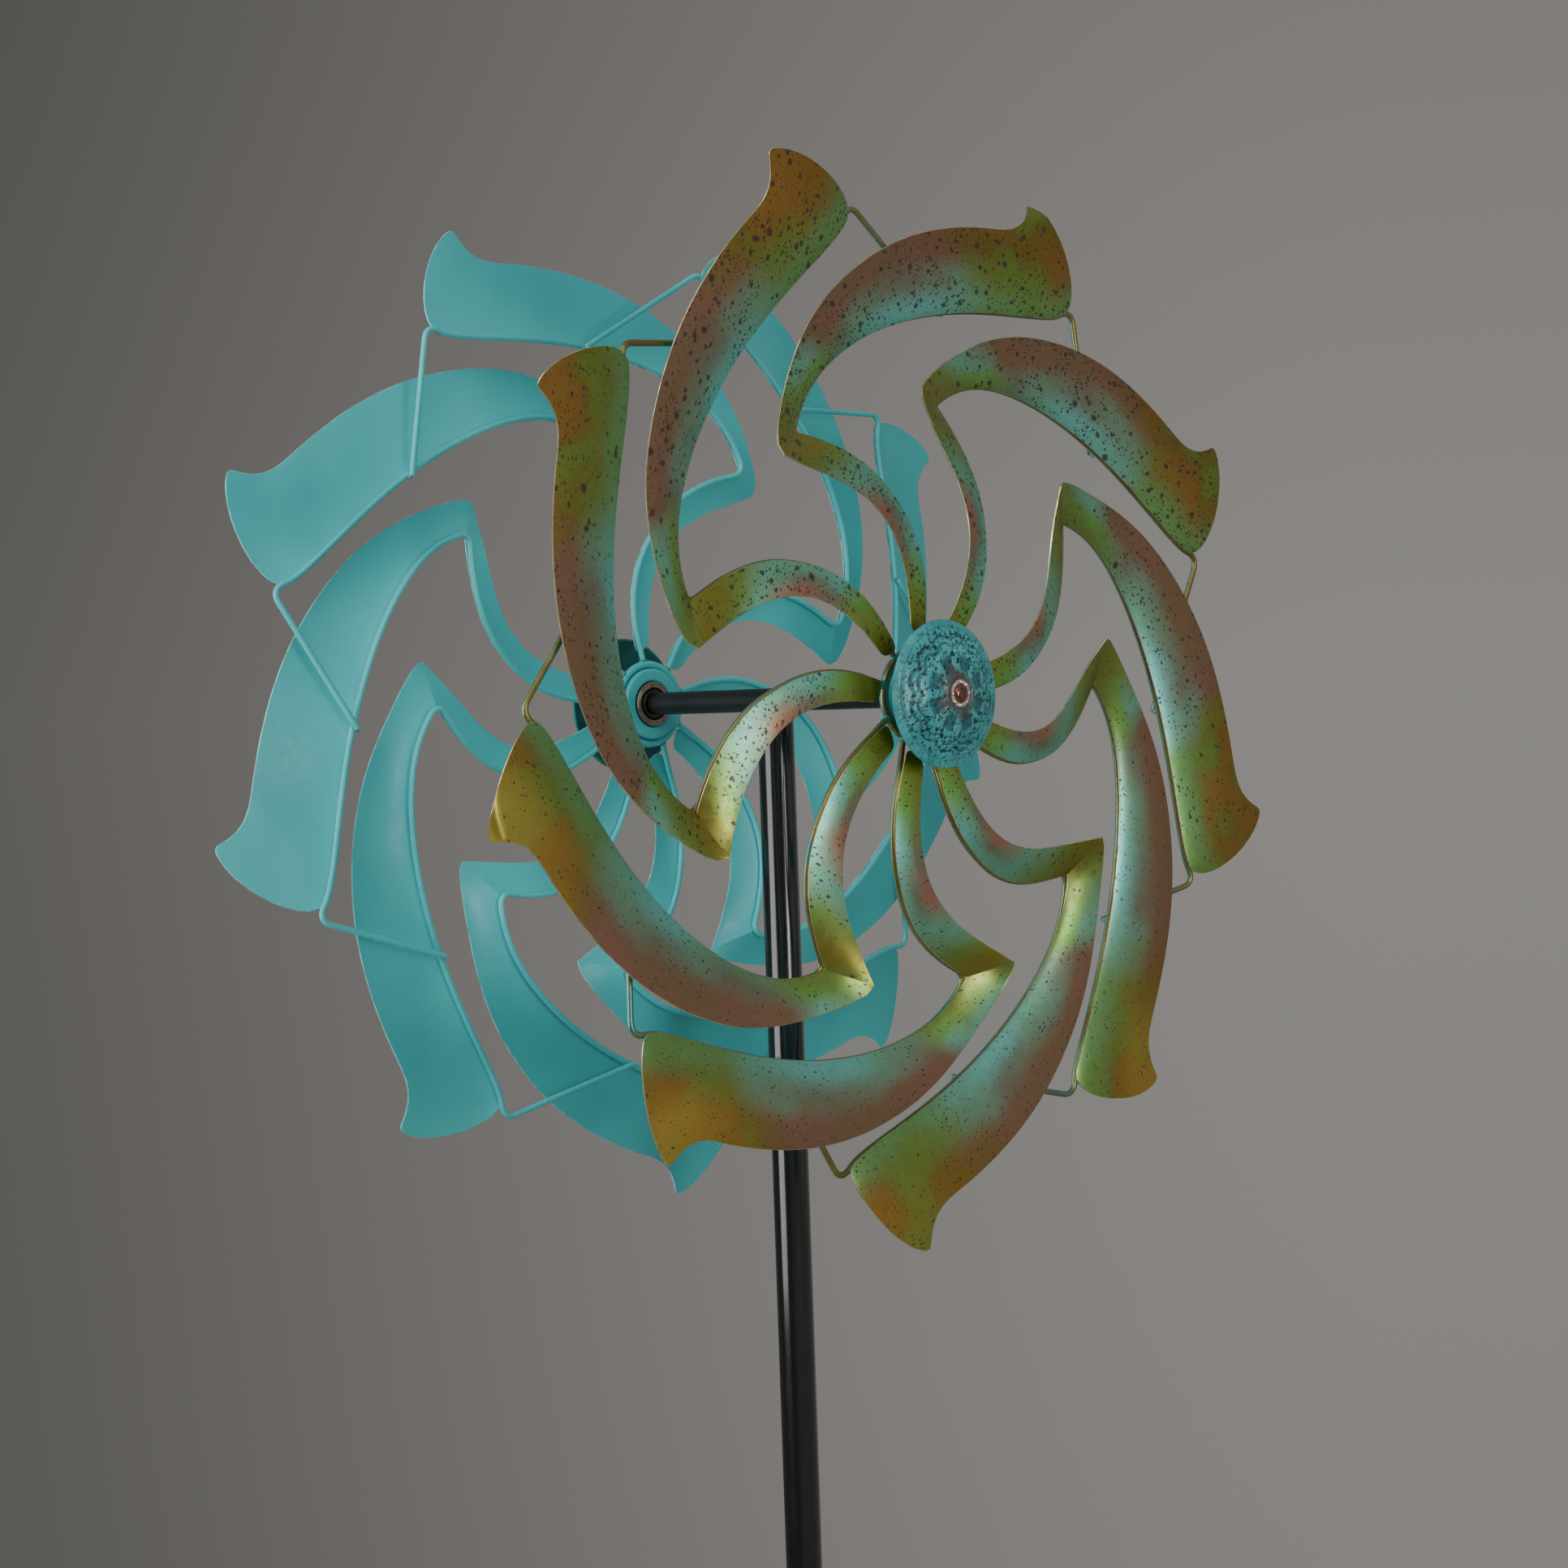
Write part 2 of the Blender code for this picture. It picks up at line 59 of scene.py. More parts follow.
# -------- sizes
BLADE_COUNT = 9
SHEET = 1.0 * MM
SHEET_ROUND = 0.3 * MM           # rounding of the cut edges
BAND_CROWN = 3.0                 # bulge of the band and the arm, in millimetres
ARM_CROWN = 0.8
ROD_RADIUS = 1.75 * MM
ROD_CORNER = 4.0 * MM
ROD_TIP_BEND = 9.0 * MM
SEAM = 0.05 * MM                 # air between pieces that are welded to each other
WELD_AT = 0.50                   # where a strut lands, as a fraction of the next band's inner edge
HORN_ROUND = 5.0 * MM            # edge taken up by the rounding of each horn
TIP_ROUND = 5.0 * MM             # the same at the tip's inner corner
HUB_END_ROUND = 5.0 * MM         # corner rounding of the arm's hub end
ELBOW_CLEAR = 0.6 * MM           # extra air between the rod's bend and the creased elbow

POLE_RADIUS = 10.6 * MM
POLE_WALL = 1.5 * MM
BAR_RADIUS = 6.75 * MM
JOURNAL_RADIUS = 5.0 * MM
RING_PLANE = -3.0 * MM
RING_RADIUS = 24.1 * MM
RING_ROD = 2.3 * MM
HOUSING_BACK = -7.5 * MM
HOUSING_FLANGE = 21.5 * MM
HOUSING_NOSE = 16.0 * MM
NOSE_FRONT = 22.0 * MM
NOSE_BORE = 13.0 * MM
BEARING_BACK = -8.7 * MM
BEARING_WIDTH = 9.0 * MM
BEARING_RADIUS = 13.5 * MM
RACE_SPLIT = 8.6 * MM
NUT_RADIUS = 9.2 * MM
DOME_RIM = 20.5 * MM
DOME_RADIUS = 40.7 * MM
DOME_HEIGHT = 12.0 * MM
DOME_SHEET = 1.2 * MM
BOSS_HEIGHT = 1.5 * MM
BOSS_RADIUS = 10.6 * MM
BEAD_CIRCLE = 6.5                # radius of the ring of beads on the boss, in millimetres
GAP = 0.3 * MM                   # air between pieces that fit into each other

# Blade outline in the rotor's frame, in millimetres: x towards the horn, y against the sweep.
ARM_END_INNER = (29.5, 8.5, 2.5)
ARM_END_OUTER = (29.5, 22, 5)
ELBOW_INNER = (101, 127, -7.5)
ELBOW_OUTER = (79.5, 142, 6)
TIP_CORNER = (256, -49, -4.5)
HORN = (305, 0, 4.5)
ARM_INNER = (ARM_END_INNER, (67.5, 18.5, 5), (96, 46, 1), (111, 84.5, -5), ELBOW_INNER)
ARM_OUTER = (ARM_END_OUTER, (73.5, 41, 6.5), (91.5, 84, 2.5), (83, 115, 0), ELBOW_OUTER)
BAND_INNER = (ELBOW_INNER, (144.5, 131, -11), (225.5, 46.5, -10.5), (245, -37.5, -4), TIP_CORNER)
BAND_OUTER = (ELBOW_OUTER, (79.5, 148, 3.5), (120.5, 149, -3), (177, 139.5, -2.5), (241, 91, 1),
              (277, 24, 1.5), (282.5, 2, 4), HORN)
END_EDGE = (TIP_CORNER, (264, -52, -2.5), (288, -37, 0.5), (304, -12.5, 3), HORN)

# Each blade is set one by one: degrees past the even spacing, then in millimetres how far its elbow
# and its tip stand forward and how far the tip's outer edge is twisted forward.
SETTINGS = {
    "front": (18.7, ((-1, -6, 0.5, -1.5), (1, 0, -7.5, -4), (0, 3, -1.5, -2), (3.5, 4, 3.5, 0),
                     (-1, -4.5, -0.5, -1.5), (1.5, 6.5, 3, 2), (-1.5, 6.5, -0.5, -1.5),
                     (-3.5, 0.5, -4, 0.5), (-0.5, -9.5, -2.5, 0.5))),
    "rear": (-21.2, ((2, 0, 9.5, 3.5), (2, 9.5, 18, 4), (2, 15.5, 8.5, 3.5), (-0.5, 1.5, -1, -1.5),
                     (2, 2, 3, 0), (-1, -1.5, -2.5, 0), (-2.5, -1.5, -4.5, 1), (0, -4, -5.5, 3),
                     (-3, -1.5, -0.5, 5))),
}
# How thickly each blade is speckled, blade 1 first.
SPECKLE = {"front": (0.95, 1.0, 0.95, 0.75, 0.55, 0.6, 0.5, 0.55, 0.8), "rear": (0.8,) * 9}
# Horns that have been bent: how far the fold lies from the horn down the outer side and along the end,
# and degrees folded forward, so backward when negative.
FOLDS = {("front", 2): (13 * MM, 12 * MM, -35), ("front", 8): (7 * MM, 17 * MM, -62)}
LIFT_FROM, LIFT_RUN = 50, 110    # distances from the axis, in millimetres, over which a lifted elbow rises

# Rotor frames in the world: columns are the rotor's x, y and z.
AXES = {"front": Matrix(((0, -1, 0), (0, 0, -1), (1, 0, 0))),
        "rear": Matrix(((0, 1, 0), (0, 0, 1), (1, 0, 0)))}
PLACE = {side: Matrix.Translation(JOINTS[f"{side}_rotor_spin"]) @ AXES[side].to_4x4() for side in AXES}

# Mesh density
ARM_STATIONS = np.concatenate(((0, 0.005, 0.013, 0.024, 0.038), np.linspace(0.06, 1, 22)))
BAND_STATIONS = 1 - np.linspace(1, 0, 56) ** 1.3
COLUMNS = 14
ACROSS = 0.5 - 0.5 * np.cos(np.linspace(0, math.pi, COLUMNS + 1))    # 0 at the inner edge, 1 at the outer
ALONG = np.concatenate((ARM_STATIONS, 1 + BAND_STATIONS[1:]))       # 0 to 1 on the arm, 1 to 2 on the band
ELBOW_ROW = len(ARM_STATIONS) - 1
ROUND, DOME_ROUND, NUT_ROUND, ROD_SIDES = 64, 192, 72, 14


# -------- node materials
class Nodes:
    """Short calls that add nodes to a tree."""

    def __init__(self, tree):
        self.tree = tree

    def put(self, value, socket):
        if isinstance(value, bpy.types.NodeSocket):
            self.tree.links.new(value, socket)
        elif isinstance(value, tuple) and len(value) == 3 and socket.type == "RGBA":
            socket.default_value = (*value, 1)
        elif value is not None:
            socket.default_value = value

    def node(self, kind, *values, **settings):
        node = self.tree.nodes.new("ShaderNode" + kind)
        for name, value in settings.items():
            setattr(node, name, value)
        for value, socket in zip(values, node.inputs):
            self.put(value, socket)
        return node

    def math(self, operation, a, b=None, clamp=False):
        return self.node("Math", a, b, operation=operation, use_clamp=clamp).outputs[0]

    def times(self, a, b):
        return self.math("MULTIPLY", a, b)

    def mix(self, factor, a, b):
        node = self.node("Mix", data_type="RGBA")
        for value, index in ((factor, 0), (a, 6), (b, 7)):
            self.put(value, node.inputs[index])
        return node.outputs[2]

    def fade(self, value, start, end, low=0.0, high=1.0):
        node = self.node("MapRange", value, start, end, low, high, interpolation_type="SMOOTHSTEP")
        return node.outputs[0]

    def attribute(self, name):
        return self.node("Attribute", attribute_name=name).outputs["Vector"]

    def parts(self, vector):
        return self.node("SeparateXYZ", vector).outputs

    def place(self, scale=(1, 1, 1)):
        coordinates = self.node("TexCoord").outputs["Object"]
        return self.node("Mapping", coordinates, None, None, scale).outputs[0]

    def noise(self, vector, scale, detail=3.0, rough=0.5):
        node = self.node("TexNoise")
        for name, value in (("Vector", vector), ("Scale", scale), ("Detail", detail), ("Roughness", rough)):
            self.put(value, node.inputs[name])
        return node.outputs[0]

    def ramp(self, value, *stops):
        node = self.node("ValToRGB", value)
        elements = node.color_ramp.elements
        for place, _ in stops[2:]:
            elements.new(place)
        for element, (place, colour) in zip(elements, stops):
            element.position = place
            element.color = (*colour, 1)
        return node.outputs[0]

    def shaken(self, vector, noise, x, y):
        """Coordinates pushed about by a noise, so that round drops turn ragged."""
        push = self.node("CombineXYZ", self.fade(noise, 0, 1, -x, x), self.fade(noise, 0, 1, y, -y))
        return self.node("VectorMath", vector, push.outputs[0], operation="ADD").outputs[0]

    def dots(self, vector, scale, radius, share):
        """Speckle: a share of the cells hold one round drop of up to radius cells."""
        cells = self.node("TexVoronoi", voronoi_dimensions="2D")
        self.put(vector, cells.inputs["Vector"])
        cells.inputs["Scale"].default_value = scale
        draw = self.parts(cells.outputs["Color"])[0]
        size = self.node("MapRange", draw, self.math("SUBTRACT", 1.0, share), 1.0, 0.04, radius).outputs[0]
        inside = self.math("SUBTRACT", size, cells.outputs["Distance"])
        return self.math("MULTIPLY", inside, 12.0, clamp=True)


class Paint(Nodes):
    """A Principled material and the nodes that drive it."""

    def __init__(self, name, **sockets):
        self.mat = bpy.data.materials.new(name)
        self.mat.use_nodes = True
        super().__init__(self.mat.node_tree)
        self.shader = self.tree.nodes["Principled BSDF"]
        self.set(**sockets)

    def set(self, **sockets):
        for name, value in sockets.items():
            self.put(value, self.shader.inputs[name.replace("_", " ")])

    def bump(self, height, distance, strength):
        node = self.node("Bump", strength)
        self.put(distance, node.inputs["Distance"])
        self.put(height, node.inputs["Height"])
        self.tree.links.new(node.outputs[0], self.shader.inputs["Normal"])


def patina():
    """Airbrushed metallic finish of a blade's face, with dark speckle."""
    p = Paint("patina", Coat_Roughness=0.25)
    reach, side, density = p.parts(p.attribute("lay"))
    flat = p.attribute("flat")
    drift = p.noise(flat, 14.0, 2.0)
    along = p.times(p.math("ADD", reach, p.fade(drift, 0.3, 0.7, -0.05, 0.05)), 0.5)
    across = p.math("ADD", side, p.fade(drift, 0.3, 0.7, 0.08, -0.08))
    # Sprayed bands from the hub end (0) past the elbow (0.5) to the tip (1), for three lanes of the blade.
    olive, green, moss = (0.21, 0.25, 0.020), (0.18, 0.43, 0.085), (0.20, 0.32, 0.070)
    turquoise, teal, sage = (0.18, 0.57, 0.50), (0.18, 0.47, 0.32), (0.19, 0.34, 0.22)
    khaki, copper, rust = (0.21, 0.21, 0.14), (0.40, 0.18, 0.12), (0.27, 0.14, 0.09)
    umber, gold, bronze = (0.24, 0.15, 0.080), (0.25, 0.24, 0.035), (0.22, 0.16, 0.026)
    moss_gold, leaf, orange = (0.19, 0.25, 0.045), (0.17, 0.36, 0.12), (0.32, 0.145, 0.028)
    grass, gold_with_painted_highlight = (0.15, 0.30, 0.045), (0.52, 0.36, 0.055)
    hub = ((0.0, olive), (0.03, olive))
    elbow = ((0.40, moss), (0.455, gold), (0.495, gold), (0.535, moss))
    inner = p.ramp(along, *hub, (0.10, green), (0.175, turquoise), (0.25, teal), (0.325, teal), *elbow,
                   (0.575, moss), (0.625, sage), (0.68, teal), (0.73, turquoise), (0.78, turquoise),
                   (0.825, teal), (0.875, leaf), (0.975, leaf))
    middle = p.ramp(along, *hub, (0.10, green), (0.175, teal), (0.25, khaki), (0.325, teal), *elbow,
                    (0.575, green), (0.625, khaki), (0.68, sage), (0.78, khaki), (0.825, sage),
                    (0.875, moss_gold), (0.925, moss_gold), (0.975, bronze))
    outer = p.ramp(along, *hub, (0.10, moss), (0.175, khaki), (0.25, copper), (0.325, teal), *elbow,
                   (0.575, teal), (0.615, umber), (0.65, rust), (0.70, umber), (0.78, umber),
                   (0.825, rust), (0.875, bronze), (0.925, bronze), (0.975, bronze))
    colour = p.mix(p.fade(across, 0.05, 0.45), inner, middle)
    colour = p.mix(p.fade(across, 0.40, 0.75), colour, outer)
    # Orange and green blotches near the tip, and bright gold there on the thinly speckled blades: partly the
    # paint's own gold, partly a painted highlight.
    tip = p.fade(along, 0.84, 0.92)
    blotch = p.noise(flat, 24.0, 1.0)
    outer_tip = p.times(p.times(tip, p.fade(blotch, 0.46, 0.60, 0.0, 0.65)), p.fade(across, 0.15, 0.45))
    colour = p.mix(outer_tip, colour, orange)
    colour = p.mix(p.times(tip, p.fade(blotch, 0.50, 0.38, 0.0, 0.60)), colour, grass)
    # Mask for the bright gold tips: partly gold paint, partly a painted highlight.
    thick = p.times(p.fade(along, 0.84, 0.97), p.fade(density, 0.65, 0.50, 0.0, 0.75))
    colour = p.mix(p.times(thick, p.fade(across, 0.25, 0.75)), colour, gold_with_painted_highlight)
    grain = p.noise(flat, 900.0, 2.0)
    colour = p.mix(p.fade(grain, 0.35, 0.65, 0.0, 0.08), colour, (0.03, 0.022, 0.012))
    # Drops of three sizes; the fine ones come in clouds.
    ragged = p.shaken(flat, p.noise(flat, 420.0, 2.0), 0.0012, 0.0012)
    fine = p.dots(ragged, 430.0, p.fade(density, 0.3, 1.0, 0.30, 0.40), p.times(density, 0.75))
    medium = p.dots(ragged, 190.0, p.fade(density, 0.4, 1.0, 0.16, 0.34), p.times(density, 0.48))
    large = p.dots(ragged, 85.0, 0.24, p.fade(density, 0.7, 1.0, 0.0, 0.40))
    fine = p.times(fine, p.fade(p.noise(flat, 30.0, 1.0), 0.35, 0.55, 0.30, 1.0))
    specks = p.math("MAXIMUM", p.math("MAXIMUM", fine, medium), large)
    colour = p.mix(p.times(specks, 0.90), colour, (0.022, 0.014, 0.009))
    from_elbow = p.math("ABSOLUTE", p.math("SUBTRACT", along, 0.465))
    matt = p.fade(from_elbow, 0.04, 0.10, 0.0, 0.09)
    p.set(Base_Color=colour, Metallic=p.fade(specks, 0.0, 1.0, 0.72, 0.1),
          Roughness=p.math("ADD", matt, p.fade(p.noise(flat, 160.0, 2.0), 0.3, 0.7, 0.25, 0.32)),
          Coat_Weight=p.times(p.math("SUBTRACT", 1.0, specks), 0.06))
    p.bump(p.math("ADD", p.times(specks, 0.5), p.times(grain, 0.35)), 0.00008, 0.6)
    return p.mat


def turquoise_coat(name, dark=(0.045, 0.52, 0.55), light=(0.085, 0.68, 0.71), smooth=0.34):
    """Satin turquoise spray paint with a slight orange peel."""
    p = Paint(name, Metallic=0.0, Coat_Weight=0.12, Coat_Roughness=0.22)
    place = p.place()
    colour = p.mix(p.fade(p.noise(place, 9.0, 2.0), 0.3, 0.7), dark, light)
    peel = p.noise(place, 1500.0, 1.0)
    p.set(Base_Color=p.mix(p.fade(peel, 0.3, 0.7, 0.0, 0.12), colour, (0.03, 0.20, 0.21)),
          Roughness=p.fade(p.noise(place, 220.0, 2.0), 0.3, 0.7, smooth, smooth + 0.10))
    p.bump(peel, 0.00004, 0.5)
    return p.mat


def cut_edge(name, colour, metallic):
    """Edge of the sheet, where the spray is thin and the metal shows; its colour is lighter than the sheet's
    faces as well, partly a painted highlight along the edge.
    """
    p = Paint(name, Metallic=metallic)
    worn = p.noise(p.place(), 120.0, 3.0)
    p.set(Base_Color=p.mix(p.fade(worn, 0.35, 0.65), colour, tuple(c * 0.55 for c in colour)),
          Roughness=p.fade(worn, 0.3, 0.7, 0.25, 0.45))
    return p.mat


def rod_finish():
    """Front rotor's rods: turquoise behind, where they were sprayed from the back, gold in front."""
    p = Paint("rod_two_tone")
    facing = p.parts(p.attribute("lay"))[1]
    place = p.place()
    gold = p.ramp(p.noise(place, 26.0, 2.0), (0.30, (0.20, 0.11, 0.05)), (0.45, (0.20, 0.19, 0.05)),
                  (0.58, (0.26, 0.25, 0.10)), (0.72, (0.08, 0.26, 0.22)))
    fine = p.noise(place, 600.0, 2.0)
    side = p.math("ADD", facing, p.fade(fine, 0.3, 0.7, -0.12, 0.12))
    p.set(Base_Color=p.mix(p.fade(side, -0.25, 0.25), (0.055, 0.29, 0.30), gold),
          Metallic=p.fade(side, -0.2, 0.3, 0.0, 0.8), Roughness=p.fade(fine, 0.3, 0.7, 0.28, 0.40))
    p.bump(fine, 0.00004, 0.5)
    return p.mat


def dome_finish():
    """Turquoise under thick dark speckle, browning towards the copper boss, under clear lacquer, with
    painted shade in the grooves and a painted glint on the boss's beads.
    """
    p = Paint("dome_speckle", Coat_Weight=0.25, Coat_Roughness=0.07, Specular_IOR_Level=0.3)
    place = p.attribute("flat")
    radius, _, recess = p.parts(p.attribute("lay"))
    broad = p.noise(place, 60.0, 2.0)
    colour = p.mix(p.fade(broad, 0.3, 0.7), (0.036, 0.26, 0.275), (0.080, 0.42, 0.43))
    ragged = p.shaken(place, p.noise(place, 500.0, 2.0), 0.0016, 0.001)
    specks = p.math("MAXIMUM", p.dots(ragged, 520.0, 0.50, 0.80), p.dots(ragged, 270.0, 0.40, 0.65))
    specks = p.times(specks, p.fade(radius, 0.0405, 0.033, 0.25, 1.0))
    colour = p.mix(p.times(specks, 0.95), colour, (0.006, 0.015, 0.018))
    # Darker in the grooves by their depth: painted shade in the pressed pattern.
    colour = p.mix(p.fade(recess, 0.15, 0.9, 0.0, 0.72), colour, (0.010, 0.060, 0.068))
    brown = p.fade(p.math("ADD", radius, p.fade(broad, 0.3, 0.7, -0.003, 0.003)), 0.0165, 0.009)
    colour = p.mix(p.times(brown, 0.85), colour, (0.075, 0.050, 0.040))
    copper = p.fade(radius, 0.0082, 0.0066)
    # Near-white metal on the ring of beads round the boss: a painted glint.
    bead = p.fade(p.math("ABSOLUTE", p.math("SUBTRACT", radius, BEAD_CIRCLE * MM)), 0.0014, 0.0006)
    colour = p.mix(copper, colour, p.mix(bead, (0.24, 0.10, 0.07), (0.80, 0.70, 0.66)))
    p.set(Base_Color=colour, Metallic=p.times(copper, 0.95), Roughness=p.fade(copper, 0, 1, 0.34, 0.10))
    hammered = p.times(p.noise(place, 330.0, 2.0), p.fade(radius, 0.0095, 0.014))
    p.bump(p.math("ADD", hammered, p.times(specks, 0.12)), 0.0008, 0.8)
    return p.mat


def black_paint(name, roughness, colour, coat):
    """Black stove paint over drawn tube: fine drag lines along it and a little dust."""
    p = Paint(name, Coat_Weight=coat, Coat_Roughness=0.08)
    place = p.place()
    drawn = p.noise(p.place((900, 900, 12)), 1.0, 2.0)
    dust = p.fade(p.noise(place, 700.0, 3.0, 0.65), 0.60, 0.72)
    uneven = p.noise(place, 60.0, 2.0)
    p.set(Base_Color=p.mix(p.times(dust, 0.10), colour, (0.10, 0.10, 0.095)),
          Roughness=p.fade(uneven, 0.3, 0.7, roughness * 0.85, roughness * 1.2))
    p.bump(p.math("ADD", p.times(drawn, 0.5), p.times(dust, 0.8)), 0.00003, 0.5)
    return p.mat


def steel(name, colour, roughness):
    """Turned steel with tool marks round the axle and brown spots of rust bloom."""
    p = Paint(name, Metallic=1.0)
    marks = p.node("TexNoise", noise_dimensions="1D")
    p.put(p.parts(p.attribute("lay"))[0], marks.inputs["W"])
    marks.inputs["Scale"].default_value = 5200.0
    bloom = p.fade(p.noise(p.place(), 260.0, 3.0), 0.50, 0.68)
    p.set(Base_Color=p.mix(p.times(bloom, 0.55), colour, (0.16, 0.085, 0.045)),
          Roughness=p.fade(bloom, 0, 1, roughness, roughness + 0.25))
    p.bump(marks.outputs[0], 0.00003, 0.6)
    return p.mat


def weld_metal(name, colour, metallic):
    """Small weld under paint: lumpy, with fine ripples."""
    p = Paint(name, Metallic=metallic)
    lumps = p.noise(p.place(), 900.0, 3.0)
    p.set(Base_Color=p.mix(p.fade(lumps, 0.3, 0.7), tuple(c * 0.7 for c in colour), colour),
          Roughness=p.fade(lumps, 0.3, 0.7, 0.32, 0.5))
    p.bump(lumps, 0.0002, 0.6)
    return p.mat


MATS = {
    "patina": patina(),
    "back": turquoise_coat("turquoise_back"),
    "rod": turquoise_coat("turquoise_rod", (0.055, 0.53, 0.56), (0.10, 0.68, 0.71), 0.22),
    "two_tone": rod_finish(),
    # The two rim colours are lighter than the faces: bare metal under thin spray, and partly a painted
    # highlight along the blades' edges.
    "gold_edge_and_highlight": cut_edge("gold_edge_and_highlight", (0.72, 0.67, 0.42), 0.9),
    "cyan_edge_and_highlight": cut_edge("cyan_edge_and_highlight", (0.30, 0.78, 0.82), 0.1),
    "dome": dome_finish(),
    # Inside of the cap: a much darker turquoise than its outside, painted shade in the hollow.
    "dome_inside_painted_shade": turquoise_coat("dome_inside_painted_shade", (0.020, 0.125, 0.130), (0.030, 0.165, 0.170)),
    "gloss": black_paint("black_gloss_paint", 0.16, (0.006, 0.006, 0.007), 0.6),
    "satin": black_paint("black_satin_paint", 0.40, (0.008, 0.008, 0.009), 0.0),
    "steel": steel("bearing_steel", (0.40, 0.33, 0.27), 0.30),
    "dark_steel": steel("race_steel", (0.09, 0.075, 0.06), 0.38),
    "zinc": steel("zinc_steel", (0.52, 0.52, 0.50), 0.34),
    "seal": black_paint("seal_rubber", 0.6, (0.008, 0.008, 0.008), 0.0),
    "weld": weld_metal("turquoise_weld", (0.075, 0.34, 0.35), 0.0),
    "black_weld": weld_metal("black_weld", (0.012, 0.012, 0.012), 0.0),
}
TURQUOISE, FACE = "turquoise_paint", "blade"
ROD_FINISH = {"front": "two_tone", "rear": "rod"}
EDGE_FINISH = {"front": "gold_edge_and_highlight", "rear": "cyan_edge_and_highlight"}


# -------- mesh tools
# Materials read two attributes: lay, where a vertex is on its piece, and flat, its place laid flat.
def unit(vectors):
    """Vectors brought to length 1, along the last axis."""
    return vectors / np.linalg.norm(vectors, axis=-1, keepdims=True)


def circle(count):
    """Evenly spaced angles, once round."""
    return 2 * math.pi * np.arange(count) / count


def around_z(angles, radius, height, x=0.0, y=0.0):
    """Points on a circle, or at heights by angle, about an upright line."""
    return np.stack(np.broadcast_arrays(x + radius * np.cos(angles), y + radius * np.sin(angles), height),
                    axis=1)


def lengths_along(path):
    """Distance of each point from the start of a path."""
    return np.concatenate(((0,), np.cumsum(np.linalg.norm(np.diff(path, axis=0), axis=1))))


def read_at(wanted, measure, points):
    """Points between others, found by a measure that grows along them."""
    return np.stack([np.interp(wanted, measure, points[:, k]) for k in range(3)], axis=-1)


def bend(start, corner, end, t):
    """Point at t on the curve that rounds a corner."""
    return (1 - t) ** 2 * start + 2 * t * (1 - t) * corner + t ** 2 * end


def closed(name, verts, faces, mats, body, slot, place=None, node=None, sharp=35, slots=None, lay=None,
           flat=None, crease=()):
    """One closed piece in the world frame, facing outwards, riding on a body, for a CAD node or new."""
    verts = np.array(verts, dtype=float)
    if place is not None:
        verts = verts @ np.array(place.to_3x3()).T + np.array(place.translation)
    centre = verts.mean(axis=0)
    volume = 0.0
    for face in faces:
        first, *others = verts[list(face)] - centre
        volume += sum(first @ np.cross(b, c) for b, c in zip(others, others[1:]))
    if volume < 0:
        faces = [tuple(reversed(face)) for face in faces]
    mesh = bpy.data.meshes.new(name)
    mesh.from_pydata(verts.tolist(), [], faces)
    for mat in mats:
        mesh.materials.append(MATS[mat])
    if slots is not None:
        mesh.polygons.foreach_set("material_index", np.array(slots, dtype=np.int32))
    mesh.shade_smooth()
    mesh.set_sharp_from_angle(angle=math.radians(sharp))
    for edge in mesh.edges if crease else ():
        if crease.issuperset(edge.vertices):
            edge.use_edge_sharp = True
    for key, values in (("lay", lay), ("flat", flat)):
        if values is not None:
            layer = mesh.attributes.new(key, "FLOAT_VECTOR", "POINT")
            layer.data.foreach_set("vector", np.array(values, dtype=np.float32).ravel())
    mesh.update()
    obj = bpy.data.objects.new(name, mesh)
    bpy.context.collection.objects.link(obj)
    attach(obj, body)
    if node:
        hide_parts(node)


def numbered(count, sides):
    """Vertex numbers of a stack of rings."""
    return [list(range(i * sides, (i + 1) * sides)) for i in range(count)]


def skin(rings, ends="joined"):
    """Faces between rings of vertex numbers. The first and last rings are joined to each other, capped
    or left open. A ring that repeats one vertex makes triangles."""
    following = rings[1:] + rings[:1] if ends == "joined" else rings[1:]
    faces = []
    for here, there in zip(rings, following):
        for i in range(len(here)):
            k = (i + 1) % len(here)
            corners = list(dict.fromkeys((here[i], here[k], there[k], there[i])))
            if len(corners) > 2:
                faces.append(tuple(corners))
    if ends == "capped":
        faces += [tuple(reversed(rings[0])), tuple(rings[-1])]
    return faces


def ring_stack(rings, segments):
    """Closed solid of rings about z. A ring's radius and height are numbers, or arrays by angle."""
    angles = circle(segments)
    verts = [np.stack(np.broadcast_arrays(r * np.cos(angles), r * np.sin(angles), z), axis=1)
             for r, z in rings]
    return np.concatenate(verts), skin(numbered(len(rings), segments))


def lathe(profile, segments=ROUND, relief=None, relief_until=0):
    """Vertices and faces of a solid of revolution about z. relief moves the first points of the
    profile along z, by radius and angle."""
    verts, rings = [], []
    for j, (r, z) in enumerate(profile):
        first = len(verts)
        if r == 0:
            rings.append([first] * segments)
            verts.append((0, 0, z))
            continue
        rings.append(list(range(first, first + segments)))
        for a in circle(segments):
            rise = relief(r, a) if j < relief_until else 0
            verts.append((r * math.cos(a), r * math.sin(a), z + rise))
    return np.array(verts), skin(rings)


def rounded(profile, radius, steps=4):
    """Closed (radius, height) profile with its corners rounded."""
    points = [np.array(p, dtype=float) for p in profile]
    result = []
    for i, corner in enumerate(points):
        arms = points[i - 1] - corner, points[(i + 1) % len(points)] - corner
        reach = min(radius, *(0.45 * np.linalg.norm(arm) for arm in arms))
        start, end = (corner + unit(arm) * reach for arm in arms)
        result += [tuple(bend(start, corner, end, t)) for t in np.linspace(0, 1, steps)]
    return result


